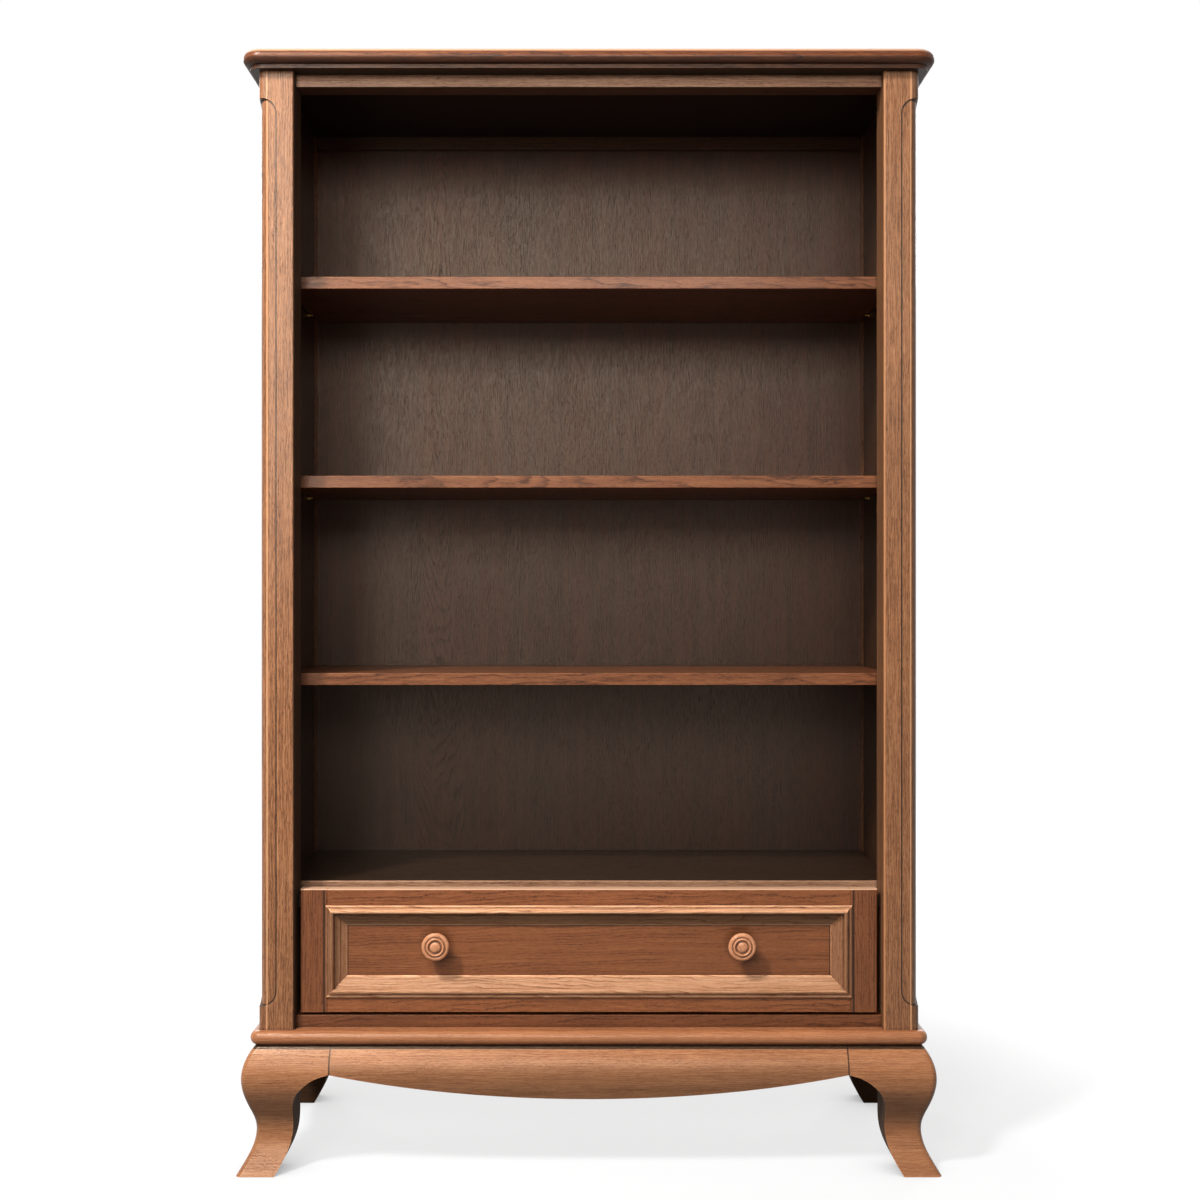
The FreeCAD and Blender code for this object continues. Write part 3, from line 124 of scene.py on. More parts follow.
class Graph:
    """Adds shader nodes to one material's tree and links them."""

    def __init__(self, tree: bpy.types.NodeTree) -> None:
        """Empty a node tree and start on it."""
        self.tree = tree
        self.tree.nodes.clear()

    def add(self, kind: str, inputs: dict[str, object] | None = None, **settings: object) -> bpy.types.Node:
        """Add one node.

        Args:
            kind: the node's type.
            inputs: what its sockets get, by their names.
            settings: the node's own properties.

        Returns:
            The new node.
        """
        made = self.tree.nodes.new(kind)
        for name, value in settings.items():
            setattr(made, name, value)
        for name, value in (inputs or {}).items():
            self.feed(made.inputs[name], value)
        return made

    def feed(self, socket: Socket, value: object) -> None:
        """Link a socket to an output, or set it to a plain value.

        Args:
            socket: the input to fill.
            value: an output socket, a number, a colour or a vector.
        """
        if isinstance(value, Socket):
            self.tree.links.new(value, socket)
        else:
            socket.default_value = value

    def fill(self, kind: str, *values: object, **settings: object) -> Socket:
        """Add one node and fill its inputs in order.

        Args:
            kind: the node's type.
            values: what its first inputs get.
            settings: the node's own properties.

        Returns:
            The socket of its first output.
        """
        made = self.add(kind, **settings)
        for socket, value in zip(made.inputs, values):
            self.feed(socket, value)
        return made.outputs[0]

    def sum(self, operation: str, *inputs: object) -> Socket:
        """One step of arithmetic, by the name of the Math node's operation."""
        return self.fill("ShaderNodeMath", *inputs, operation=operation)

    def scale(self, value: object, factor: object, offset: object) -> Socket:
        """A number times a factor, plus an offset."""
        return self.sum("MULTIPLY_ADD", value, factor, offset)

    def times(self, first: object, second: object) -> Socket:
        """The product of two numbers."""
        return self.sum("MULTIPLY", first, second)

    def plus(self, first: object, second: object) -> Socket:
        """The sum of two numbers."""
        return self.sum("ADD", first, second)

    def less(self, first: object, second: object) -> Socket:
        """The first number less the second."""
        return self.sum("SUBTRACT", first, second)

    def size(self, value: object) -> Socket:
        """A number without its sign."""
        return self.sum("ABSOLUTE", value)

    def place(self, *parts: object) -> Socket:
        """Put three numbers together as a vector."""
        return self.fill("ShaderNodeCombineXYZ", *parts)

    def read(self, kind: str = "Object") -> Socket:
        """The place in the row's frame, or with Normal the way that the face looks."""
        return self.add("ShaderNodeTexCoord").outputs[kind]

    def parts(self, kind: str = "Object") -> tuple[Socket, ...]:
        """The three numbers of the place, or with Normal of the way that the face looks."""
        return tuple(self.add("ShaderNodeSeparateXYZ", {"Vector": self.read(kind)}).outputs)

    def span(self, value: object, low: float, high: float, start: float = 0.0, end: float = 1.0) -> Socket:
        """Stretch a range of numbers to another one, smoothly and within its ends.

        Args:
            value: the number to stretch.
            low: the value that becomes the start.
            high: the value that becomes the end.
            start: the first result.
            end: the last result.

        Returns:
            The result's socket.
        """
        return self.fill("ShaderNodeMapRange", value, low, high, start, end,
                         interpolation_type="SMOOTHSTEP")

    def centred(self, value: object) -> Socket:
        """Move a number from 0 to 1 so that its middle is 0."""
        return self.less(value, 0.5)

    def slant(self, first: object, second: object) -> Socket:
        """The distance that two numbers give, square to each other."""
        return self.sum("SQRT", self.plus(self.times(first, first), self.times(second, second)))

    def mix(self, share: object, low: object, high: object, blend: str = "MIX") -> Socket:
        """Mix two colours.

        Args:
            share: how much of the second colour.
            low: the first colour.
            high: the second colour.
            blend: the way of mixing.

        Returns:
            The mixed colour's socket.
        """
        made = self.add("ShaderNodeMix", {"Factor": share}, data_type="RGBA", blend_type=blend)
        self.feed(made.inputs[6], low)
        self.feed(made.inputs[7], high)
        return made.outputs[2]

    def shade(self, colour: object, share: object) -> Socket:
        """Multiply a colour or a vector by one number.

        Args:
            colour: the colour or vector.
            share: what it is multiplied by.

        Returns:
            The product's socket.
        """
        made = self.add("ShaderNodeVectorMath", {"Scale": share}, operation="SCALE")
        self.feed(made.inputs[0], colour)
        return made.outputs[0]

    def noise(self, vector: object, detail: float = 2.0, rough: float = 0.5, bend: float = 0.0) -> Socket:
        """Smooth noise with features of one unit of the vector.

        Args:
            vector: where it is read.
            detail: how many finer layers it has.
            rough: how strong the finer layers are.
            bend: how far it is distorted.

        Returns:
            The noise's socket, from 0 to 1.
        """
        return self.add("ShaderNodeTexNoise", {
            "Vector": vector, "Scale": 1.0, "Detail": detail, "Roughness": rough, "Distortion": bend,
        }).outputs["Fac"]

    def hollow(self, reach: float, samples: int = FINE_SAMPLES, **settings: object) -> Socket:
        """How open a place is within a reach, from 0 to 1."""
        made = self.add("ShaderNodeAmbientOcclusion", {"Distance": reach}, samples=samples, **settings)
        return made.outputs["AO"]

    def ramp(self, value: object, stops: list[tuple[float, tuple]]) -> Socket:
        """Read a colour off a scale.

        Args:
            value: where on the scale.
            stops: places on the scale and their linear colours.

        Returns:
            The colour's socket.
        """
        made = self.add("ShaderNodeValToRGB")
        self.feed(made.inputs[0], value)
        scale = made.color_ramp.elements
        while len(scale) < len(stops):
            scale.new(0.5)
        for stop, (position, colour) in zip(scale, stops):
            stop.position = position
            stop.color = colour
        return made.outputs[0]

    def show(self, shader: Socket, kind: str = "Material") -> None:
        """Send a shader to the output of the material or the world."""
        self.add(f"ShaderNodeOutput{kind}", {"Surface": shader})


def new_material(name: str) -> tuple[bpy.types.Material, Graph]:
    """Make an empty material.

    Args:
        name: the material's name.

    Returns:
        The material and its graph.
    """
    made = bpy.data.materials.new(name)
    made.use_nodes = True
    return made, Graph(made.node_tree)


def cover(piece: bpy.types.Object, material: bpy.types.Material) -> None:
    """Put a material on a piece.

    Args:
        piece: the piece to cover.
        material: what it is covered with.
    """
    if piece.material_slots:
        for holder in piece.material_slots:
            holder.material = material
    else:
        piece.data.materials.append(material)


@dataclass(frozen=True)
class Bend:
    """How rings stray: the bends in a metre across and along the board, and how far each one reaches."""

    across: float
    along: float
    reach: float


class Board:
    """One board while its material is made: its graph, its axes and its own draws."""

    def __init__(self, graph: Graph, node: str, grain: Grain, cut: Cut) -> None:
        """Split the place into across, away from the face and along the fibres.

        Args:
            graph: the material's graph.
            node: the board's node, whose name seeds its draws.
            grain: the way its fibres run.
            cut: how it was sawn.
        """
        self.graph = graph
        self.cut = cut
        self.draw = random.Random(node)
        low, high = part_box(node)
        self.middle_across, self.middle_away, _ = (((low + high) / 2)[axis] for axis in AXES[grain])
        place = graph.parts()
        self.across, self.away, self.along = (place[axis] for axis in AXES[grain])

    def scaled(self, across: float, along: float, shift: float) -> Socket:
        """Stretch the place for a noise that is drawn out along the fibres.

        Args:
            across: how many features lie in a metre across the fibres.
            along: how many lie in a metre along them.
            shift: moves the noise, so that boards differ.

        Returns:
            The stretched place's socket.
        """
        stretched = ((self.across, across, shift), (self.away, across, -shift), (self.along, along, shift))
        return self.graph.place(*(self.graph.scale(*step) for step in stretched))

    def bent(self, bend: Bend, shift: float) -> Socket:
        """Smooth bends from -0.5 to 0.5."""
        return self.graph.centred(self.graph.noise(self.scaled(bend.across, bend.along, shift), detail=1.0))

    def fibres(self, width: float, length: float) -> Socket:
        """Long thin marks of a width and length along the fibres, from 0 to 1."""
        place = self.scaled(1 / width, 1 / length, self.draw.uniform(0, FIBRE_SHIFT))
        return self.graph.noise(place, detail=2.5, rough=0.6, bend=0.2)


@dataclass(frozen=True)
class Oak:
    """A stained and lacquered oak finish.

    Lengths are in metres. The colours are as they look in plain light.
    """

    name: str
    dark: Colour
    middle: Colour
    light: Colour
    level: float = 0.60
    ring_width: float = 4.2 * MM
    ring_depth: float = 0.30
    ring_relief: float = 0.3
    uneven_count: float = 70.0
    uneven_years: float = 2.4
    faintest_ring: float = 0.25
    wander: float = 1.0
    sway: Bend = Bend(5.0, 1.3, 0.050)
    wave: Bend = Bend(38.0, 8.0, 0.010)
    ripple: Bend = Bend(120.0, 26.0, 0.0035)
    fading: Range = (55.0, 9.0)
    fleck_width: float = 1.5 * MM
    fleck_length: float = 30 * MM
    fleck_depth: float = 0.22
    fleck_rough: float = 0.16
    fleck_relief: float = 0.6
    fine_width: float = 0.55
    fine_length: float = 0.4
    fine_share: float = 0.4
    streak_width: float = 8 * MM
    streak_length: float = 260 * MM
    streak_depth: float = 0.34
    pore_width: float = 0.8 * MM
    pore_length: float = 11 * MM
    pore_depth: float = 0.40
    pore_rough: float = 0.15
    pore_limit: float = 0.61
    pore_gathering: float = 0.12
    pore_edge: float = 0.06
    cloud_count: float = 4.5
    stain_drift: float = 0.08
    board_drift: float = 0.03
    # Painted shade in corners, and edges lightened as if by use and as a painted highlight.
    painted_shade: float = 0.62
    painted_shade_reach: float = 7 * MM
    wear_and_highlight: float = 0.70
    wear_and_highlight_reach: float = 2.2 * MM
    edge_radius: float = 0.9 * MM
    roughness: float = 0.38
    specular: float = 0.26
    coat: float = 0.12
    coat_roughness: float = 0.20
    gloss_tint: Colour = (255, 230, 204)
    relief: float = 0.20 * MM

    def paint(self, node: str, grain: Grain, cut: Cut, *marks: "Mark") -> None:
        """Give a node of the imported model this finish, with a log of its own.

        Args:
            node: the node's name.
            grain: the way its fibres run.
            cut: how its board was sawn.
            marks: parts of the board whose finish differs.
        """
        made, graph = new_material(f"{self.name}.{node}")
        board = Board(graph, node, grain, cut)
        rings = self.rings(board)
        fleck = self.flecks(board)
        streak = board.fibres(self.streak_width, self.streak_length)
        pores = self.pores(board, rings)
        colour = self.stain(board, self.tone(board, rings, fleck, streak, pores))
        for mark in marks:
            colour = mark.colour(graph, colour)
        rough = graph.scale(graph.centred(fleck), self.fleck_rough, self.roughness)
        rough = graph.scale(pores, self.pore_rough, rough)
        for mark in marks:
            rough = mark.rough(graph, rough)
        height = graph.scale(pores, -1.0, graph.times(fleck, self.fleck_relief))
        height = graph.scale(rings, -self.ring_relief, height)
        self.surface(graph, self.handle(graph, colour), rough, height)
        cover(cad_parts[node], made)

    def rings(self, board: Board) -> Socket:
        """The growth rings: a thin dark line at the start of each year.

        Args:
            board: the board.

        Returns:
            The socket of a mask that is 1 where the wood is darkest.
        """
        graph, draw = board.graph, board.draw
        piths = {cut: (draw.uniform(*reach), draw.uniform(*turn)) for cut, (reach, turn) in PITHS.items()}
        reach, turn = piths[board.cut]
        drift = draw.uniform(*PITH_DRIFT) * draw.choice((-1, 1))
        shift = draw.uniform(0, RING_SHIFT)
        away = graph.plus(board.away, graph.scale(
            board.along, drift, -(board.middle_away + reach * math.cos(turn))))
        away = graph.scale(board.bent(self.sway, shift), self.sway.reach * self.wander, away)
        across = graph.less(board.across, board.middle_across + reach * math.sin(turn))
        distance = graph.slant(away, across)
        for bend in (self.wave, self.ripple):
            distance = graph.scale(board.bent(bend, shift), bend.reach * self.wander, distance)
        return self.seasons(board, distance, shift)

    def seasons(self, board: Board, distance: object, shift: float) -> Socket:
        """The colour of each year's wood, from dark early wood to light late wood.

        Args:
            board: the board.
            distance: how far the place lies from the pith.
            shift: moves the noise, so that boards differ.

        Returns:
            The socket of a mask that is 1 where the wood is darkest.
        """
        graph = board.graph
        place = graph.place(graph.scale(distance, self.uneven_count, shift), 0.0, 0.0)
        uneven = graph.times(graph.noise(place), self.uneven_years)
        years = graph.plus(graph.sum("DIVIDE", distance, self.ring_width), uneven)
        stops = [(part, (dark, dark, dark, 1)) for part, dark in SEASON]
        season = graph.ramp(graph.sum("FRACT", years), stops)
        fading = graph.noise(board.scaled(*self.fading, shift + FADING_SHIFT), detail=1.0)
        return graph.times(season, graph.span(fading, *FADING_SPAN, self.faintest_ring, 1.0))

    def flecks(self, board: Board) -> Socket:
        """The short light and dark dashes of the grain, a long set and a finer one.

        Args:
            board: the board.

        Returns:
            The socket of a mask from 0 to 1.
        """
        long_set = board.fibres(self.fleck_width, self.fleck_length)
        fine_set = board.fibres(self.fleck_width * self.fine_width, self.fleck_length * self.fine_length)
        long_set, fine_set = (board.graph.span(dashes, *FLECK_SPAN) for dashes in (long_set, fine_set))
        return board.graph.scale(fine_set, self.fine_share, board.graph.times(long_set, 1 - self.fine_share))

    def pores(self, board: Board, rings: object) -> Socket:
        """The open pores of oak, which lie thickest at the start of each ring.

        Args:
            board: the board.
            rings: the mask of the growth rings.

        Returns:
            The socket of a mask that is 1 in a pore.
        """
        specks = board.fibres(self.pore_width, self.pore_length)
        limit = board.graph.scale(rings, -self.pore_gathering, self.pore_limit)
        return board.graph.span(board.graph.less(specks, limit), 0.0, self.pore_edge)

    def tone(self, board: Board, rings: object, fleck: object, streak: object, pores: object) -> Socket:
        """How light the wood is at each place.

        Args:
            board: the board.
            rings: the mask of the growth rings.
            fleck: the mask of the fine flecks.
            streak: the mask of the broad streaks.
            pores: the mask of the pores.

        Returns:
            The socket of a number from 0, dark, to 1, light.
        """
        graph = board.graph
        level = self.level + board.draw.uniform(-self.board_drift, self.board_drift)
        total = graph.scale(rings, -self.ring_depth * 2, level)
        total = graph.scale(graph.centred(fleck), self.fleck_depth * 2, total)
        total = graph.scale(graph.centred(streak), self.streak_depth * 2, total)
        return graph.scale(pores, -self.pore_depth, total)

    def stain(self, board: Board, tone: object) -> Socket:
        """The stain, lighter and darker with the wood's tone and in slow clouds.

        Args:
            board: the board.
            tone: the wood's tone.

        Returns:
            The colour's socket.
        """
        graph = board.graph
        stops = [(0.0, linear(self.dark)), (0.5, linear(self.middle)), (1.0, linear(self.light))]
        colour = graph.ramp(tone, stops)
        shift = [board.draw.uniform(0, CLOUD_SHIFT) for _ in range(3)]
        place = graph.fill("ShaderNodeVectorMath", graph.read(), [self.cloud_count] * 3, shift,
                           operation="MULTIPLY_ADD")
        cloud = graph.noise(place, detail=1.0)
        drift = self.stain_drift
        return graph.shade(colour, graph.span(cloud, *CLOUD_SPAN, 1 - drift, 1 + drift))

    def handle(self, graph: Graph, colour: object) -> Socket:
        """Painted shade in the corners, also as stain gathered there, and edges lightened as if by use and
        as a painted highlight.

        Args:
            graph: the material's graph.
            colour: the stain's colour.

        Returns:
            The colour's socket.
        """
        corner = graph.hollow(self.painted_shade_reach)
        edge = graph.hollow(self.wear_and_highlight_reach, inside=True, only_local=True)
        # Painted shade where the corners are closed in, and a painted highlight, as if by use, along convex
        # edges.
        dark = graph.span(corner, *PAINTED_SHADE_SPAN, 1 - self.painted_shade, 1.0)
        light = graph.span(edge, *WEAR_AND_HIGHLIGHT_SPAN, 1 + self.wear_and_highlight, 1.0)
        return graph.shade(colour, graph.times(dark, light))

    def surface(self, graph: Graph, colour: object, rough: object, height: object) -> None:
        """The lacquered surface, with softened edges and the relief of the grain.

        Args:
            graph: the material's graph.
            colour: the stain's colour.
            rough: the roughness.
            height: the relief, from -1 to 1.
        """
        bevel = graph.add("ShaderNodeBevel", {"Radius": self.edge_radius}, samples=FINE_SAMPLES)
        rounded = bevel.outputs[0]
        bump = graph.add("ShaderNodeBump", {
            "Strength": BUMP_STRENGTH, "Distance": self.relief, "Height": height, "Normal": rounded,
        })
        shader = graph.add("ShaderNodeBsdfPrincipled", {
            "Base Color": colour,
            "Roughness": rough,
            "Specular IOR Level": self.specular,
            "Specular Tint": linear(self.gloss_tint),
            "Normal": bump.outputs[0],
            "Coat Weight": self.coat,
            "Coat Roughness": self.coat_roughness,
            "Coat Normal": rounded,
        })
        graph.show(shader.outputs[0])


class Mark:
    """A part of a board whose colour or roughness differs from the rest: a dark joint, painted shade or a
    painted highlight.
    """

    def factor(self, graph: Graph) -> object:
        """What the stain's colour is multiplied by."""
        return 1.0

    def colour(self, graph: Graph, colour: object) -> Socket:
        """Change the stain's colour there."""
        return graph.shade(colour, self.factor(graph))

    def rough(self, graph: Graph, rough: object) -> Socket:
        """Change the roughness there."""
        return rough


@dataclass(frozen=True)
class InsideShade(Mark):
    """The inside of the case, from behind the boards' solid lips, with painted shade on it."""

    half_width: float = 559 * MM
    lip_rear: float = -160 * MM
    floor: float = 504 * MM
    ceiling: float = 1969 * MM
    blur: float = 1 * MM
    shade: float = 0.45

    def factor(self, graph: Graph) -> Socket:
        """Paint shade on the inside of the case.

        Args:
            graph: the material's graph.

        Returns:
            The socket of what the colour is multiplied by.
        """
        x, y, z = graph.parts()
        walls = graph.span(graph.size(x), self.half_width, self.half_width + self.blur, 1.0, 0.0)
        lip = graph.span(y, self.lip_rear, self.lip_rear + self.blur)
        low = graph.span(z, self.floor - self.blur, self.floor)
        high = graph.span(z, self.ceiling, self.ceiling + self.blur, 1.0, 0.0)
        within = graph.times(graph.times(walls, lip), graph.times(low, high))
        return graph.scale(within, self.shade - 1.0, 1.0)


@dataclass(frozen=True)
class RecessShade(Mark):
    """The stopped recess down a front post's outer corner, with painted shade on its sloping wall."""

    half_width: float = 591 * MM
    front: float = -198 * MM
    foot: float = 292 * MM
    head: float = 1918 * MM
    reach: float = 33 * MM
    end_radius: float = 28 * MM
    wall_middle: float = 1.7 * MM
    wall_half: float = 0.9 * MM
    fade: float = 1.2 * MM
    painted_shade: float = 0.22

    def factor(self, graph: Graph) -> Socket:
        """Paint shade on the recess's wall.

        Args:
            graph: the material's graph.

        Returns:
            The socket of what the colour is multiplied by.
        """
        x, y, z = graph.parts()
        inward = graph.sum("MAXIMUM", graph.less(self.half_width, graph.size(x)), graph.less(y, self.front))
        off_middle = graph.size(graph.less(z, (self.foot + self.head) / 2))
        out_across = graph.less(inward, self.reach - self.end_radius)
        out_along = graph.less(off_middle, (self.head - self.foot) / 2 - self.end_radius)
        corner = graph.slant(graph.sum("MAXIMUM", out_across, 0.0), graph.sum("MAXIMUM", out_along, 0.0))
        within = graph.sum("MINIMUM", graph.sum("MAXIMUM", out_across, out_along), 0.0)
        past = graph.less(graph.plus(corner, within), self.end_radius)
        off_wall = graph.size(graph.plus(past, self.wall_middle))
        return graph.span(off_wall, self.wall_half, self.wall_half + self.fade, self.painted_shade, 1.0)


@dataclass(frozen=True)
class Lines(Mark):
    """Lines along a piece: dark joints where it meets another one, bands of painted shade, and painted
    highlights mixed in along its edges.
    """

    upright: float = 0.0
    level: float = 0.0
    half_width: float = 0.9 * MM
    fade: float = 1.0 * MM
    shade: float = 0.12
    painted_highlight: Colour | None = None

    def colour(self, graph: Graph, colour: object) -> Socket:
        """Darken the colour along the lines, or, with a highlight colour, mix in a painted highlight.

        Args:
            graph: the material's graph.
            colour: the stain's colour.

        Returns:
            The colour's socket.
        """
        x, _, z = graph.parts()
        end = self.half_width + self.fade
        for place, line in ((graph.size(x), self.upright), (z, self.level)):
            if not line:
                continue
            off = graph.size(graph.less(place, line))
            if self.painted_highlight:
                on_line = graph.span(off, self.half_width, end, 1.0, 0.0)
                colour = graph.mix(on_line, colour, linear(self.painted_highlight))
            else:
                colour = graph.shade(colour, graph.span(off, self.half_width, end, self.shade, 1.0))
        return colour


@dataclass(frozen=True)
class TuckedShade(Mark):
    """Faces that look to the middle plane, or to the front on a rear piece: painted shade on them, and left
    rough.
    """

    front: bool = False
    shade: float = 0.12
    roughness: float = 0.95
    start: float = 0.30
    full: float = 0.60

    def facing(self, graph: Graph) -> Socket:
        """How far a face is turned the tucked way.

        Args:
            graph: the material's graph.

        Returns:
            The socket of a number that is 1 on a face that looks straight that way.
        """
        sideways, forward, _ = graph.parts("Normal")
        side = graph.sum("SIGN", graph.parts()[0])
        inward = graph.times(graph.times(side, sideways), -1.0)
        if self.front:
            inward = graph.sum("MAXIMUM", inward, graph.times(forward, -1.0))
        return inward

    def turned(self, graph: Graph) -> Socket:
        """The mask of the tucked faces."""
        return graph.span(self.facing(graph), self.start, self.full)

    def factor(self, graph: Graph) -> Socket:
        """Paint shade on the tucked faces."""
        return graph.scale(self.turned(graph), self.shade - 1.0, 1.0)

    def rough(self, graph: Graph, rough: object) -> Socket:
        """Leave the tucked faces rough."""
        return graph.sum("MAXIMUM", rough, graph.times(self.turned(graph), self.roughness))


@dataclass(frozen=True)
class UnderShade(TuckedShade):
    """Faces that look down, with painted shade on them and left rougher."""

    shade: float = 0.4
    roughness: float = 0.6
    start: float = 0.08
    full: float = 0.40

    def facing(self, graph: Graph) -> Socket:
        """How far a face looks down."""
        return graph.times(graph.parts("Normal")[2], -1.0)


@dataclass(frozen=True)
class Veneer(Oak):
    """Oak veneer laid in upright leaves side by side, one of them cut through the heart of the log."""

    leaf_first: float = -565 * MM
    leaf_width: float = 102.7 * MM
    leaf_spread: float = 0.20
    joint: float = 0.82
    band_width: float = 24 * MM
    band_length: float = 1.6
    band_depth: float = 0.16
    warm_width: float = 90 * MM
    warm_tint: Colour = (255, 226, 206)
    heart_leaf: int = 2
    heart_head: float = 1.49
    heart_slope: float = 0.085
    heart_aside: Range = (0.055, 0.09)
    heart_away: Range = (0.02, 0.03)
    sway: Bend = Bend(9.0, 2.6, 0.045)
    wave: Bend = Bend(42.0, 9.0, 0.008)
    # Painted shade that darkens the veneer towards the bottom: its darkest share, and the heights where it
    # starts and ends.
    shade_low: float = 0.42
    shade_from: float = 0.50
    shade_to: float = 1.35

    def leaf(self, board: Board) -> tuple[object, object, object]:
        """Find the leaf that a place lies on.

        Args:
            board: the veneered board.

        Returns:
            The leaf's number, the share of its width, and a number that is drawn for it.
        """
        graph = board.graph
        count = graph.sum("DIVIDE", graph.less(board.across, self.leaf_first), self.leaf_width)
        number = graph.sum("FLOOR", count)
        made = graph.add("ShaderNodeTexWhiteNoise", noise_dimensions="1D")
        graph.feed(made.inputs["W"], number)
        return number, graph.sum("FRACT", count), made.outputs["Value"]

    def rings(self, board: Board) -> Socket:
        """The growth rings: pointed arches on the heart leaf, close lines on the others.

        Args:
            board: the veneered board.

        Returns:
            The socket of a mask that is 1 where the wood is darkest.
        """
        graph = board.graph
        shift = board.draw.uniform(0, RING_SHIFT)
        number, share, drawn = self.leaf(board)
        off_heart = graph.sum("MINIMUM", graph.size(graph.less(number, self.heart_leaf)), 1.0)
        local = graph.times(graph.centred(share), self.leaf_width)
        least, spread = self.heart_aside
        aside = graph.times(off_heart, graph.scale(drawn, spread, least))
        fall = graph.times(graph.less(self.heart_head, board.along), self.heart_slope)
        depth = graph.scale(board.bent(self.sway, shift), self.sway.reach, fall)
        least, spread = self.heart_away
        plain = graph.scale(drawn, spread, least)
        depth = graph.scale(off_heart, graph.less(plain, depth), depth)
        distance = graph.slant(graph.plus(local, aside), depth)
        distance = graph.scale(board.bent(self.wave, shift), self.wave.reach * self.wander, distance)
        return self.seasons(board, distance, shift)

    def stain(self, board: Board, tone: object) -> Socket:
        """The stain, with a tone of its own on each leaf, bands within it, thin dark joints and painted
        shade towards the bottom.

        Args:
            board: the veneered board.
            tone: the wood's tone.

        Returns:
            The colour's socket.
        """
        colour = super().stain(board, tone)
        graph, draw = board.graph, board.draw
        _, share, drawn = self.leaf(board)
        places = [board.scaled(1 / width, 1 / self.band_length, draw.uniform(0, RING_SHIFT))
                  for width in (self.warm_width, self.band_width)]
        warm, bands = graph.noise(places[0], detail=1.0), graph.noise(places[1], detail=1.5)
        warmed = graph.mix(1.0, colour, linear(self.warm_tint), "MULTIPLY")
        colour = graph.mix(graph.span(warm, *WARM_SPAN), colour, warmed)
        edge = graph.size(graph.centred(share))
        level = graph.scale(drawn, self.leaf_spread, 1.0 - self.leaf_spread / 2)
        # Bands, painted shade that darkens towards the bottom, and dark joints at the leaves' edges.
        for part in (graph.span(bands, *BAND_SPAN, 1 - self.band_depth, 1 + self.band_depth),
                     graph.span(board.along, self.shade_from, self.shade_to, self.shade_low, 1.0),
                     graph.span(edge, *JOINT_SPAN, 1.0, self.joint)):
            level = graph.times(level, part)
        return graph.shade(colour, level)


@dataclass(frozen=True)
class Metal:
    """A plain metal finish with fine turning marks."""

    name: str
    tint: Colour
    roughness: float = 0.22
    mark_rough: float = 0.2
    mark_width: float = 0.25 * MM
    mark_tone: float = 0.7

    def paint(self, node: str) -> None:
        """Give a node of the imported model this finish."""
        self.cover(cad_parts[node], node)

    def cover(self, piece: bpy.types.Object, label: str) -> None:
        """Give a piece this finish.

        Args:
            piece: the piece to cover.
            label: what its material is called after the finish's name.
        """
        made, graph = new_material(f"{self.name}.{label}")
        marks = graph.noise(graph.shade(graph.read(), 1 / self.mark_width))
        tint = linear(self.tint)
        wear_and_painted_light = tuple(part * self.mark_tone for part in tint[:3]) + (1.0,)
        shader = graph.add("ShaderNodeBsdfPrincipled", {
            "Base Color": graph.mix(marks, wear_and_painted_light, tint),
            "Metallic": 1.0,
            "Roughness": graph.scale(marks, self.mark_rough, self.roughness),
        })
        graph.show(shader.outputs[0])
        cover(piece, made)


POST_OAK = Oak("post_oak", (71, 39, 20), (133, 84, 52), (172, 120, 82), ring_depth=0.12,
               fleck_depth=0.30, pore_width=0.7 * MM, pore_length=9 * MM, pore_depth=0.52,
               edge_radius=0.4 * MM, roughness=0.30, specular=0.38)
TOP_OAK = Oak("top_oak", (41, 16, 6), (96, 47, 24), (144, 84, 46), ring_width=4.5 * MM, ring_depth=0.18,
              streak_depth=0.16, painted_shade=0.85, painted_shade_reach=22 * MM)
RAIL_OAK = Oak("rail_oak", (84, 56, 41), (157, 110, 82), (201, 154, 121), ring_depth=0.08)
SIDE_OAK = Oak("side_oak", (74, 41, 23), (131, 82, 54), (168, 117, 80))
# Dark base colours: painted shade of the inside of the case, on top of the veneer's own greyer tone.
BACK_OAK = Veneer("back_oak", (29, 13, 8), (59, 31, 22), (84, 47, 35), ring_width=3.4 * MM,
                  ring_depth=0.26, streak_width=6 * MM, streak_length=600 * MM, streak_depth=0.26,
                  fleck_depth=0.26, roughness=0.40, specular=0.46, coat=0.0)
SHELF_OAK = Oak("shelf_oak", (57, 27, 13), (111, 63, 37), (142, 91, 58), ring_width=5.5 * MM,
                ring_depth=0.22, wander=1.3)
DECK_OAK = Oak("deck_oak", (86, 55, 38), (142, 102, 76), (176, 139, 111), ring_depth=0.12)
DRAWER_OAK = Oak("drawer_oak", (63, 30, 13), (129, 74, 43), (162, 102, 62), ring_width=6.0 * MM,
                 ring_depth=0.15, wander=1.5, fleck_depth=0.2, streak_depth=0.2,
                 pore_length=7 * MM, pore_depth=0.42)
LOW_RAIL_OAK = Oak("low_rail_oak", (49, 21, 8), (102, 57, 32), (129, 79, 48), ring_width=6.0 * MM,
                   ring_depth=0.12, wander=1.5, fleck_depth=0.2, streak_depth=0.2,
                   pore_length=7 * MM, pore_depth=0.42)
STILE_OAK = Oak("stile_oak", (56, 26, 11), (111, 63, 36), (141, 87, 54), ring_depth=0.12,
                pore_length=7 * MM, pore_depth=0.4)
PANEL_OAK = Oak("panel_oak", (65, 32, 16), (123, 71, 41), (151, 96, 60), ring_depth=0.14,
                fleck_length=18 * MM, fleck_depth=0.16, pore_length=6 * MM, pore_depth=0.22,
                painted_shade=0.85, painted_shade_reach=28 * MM)
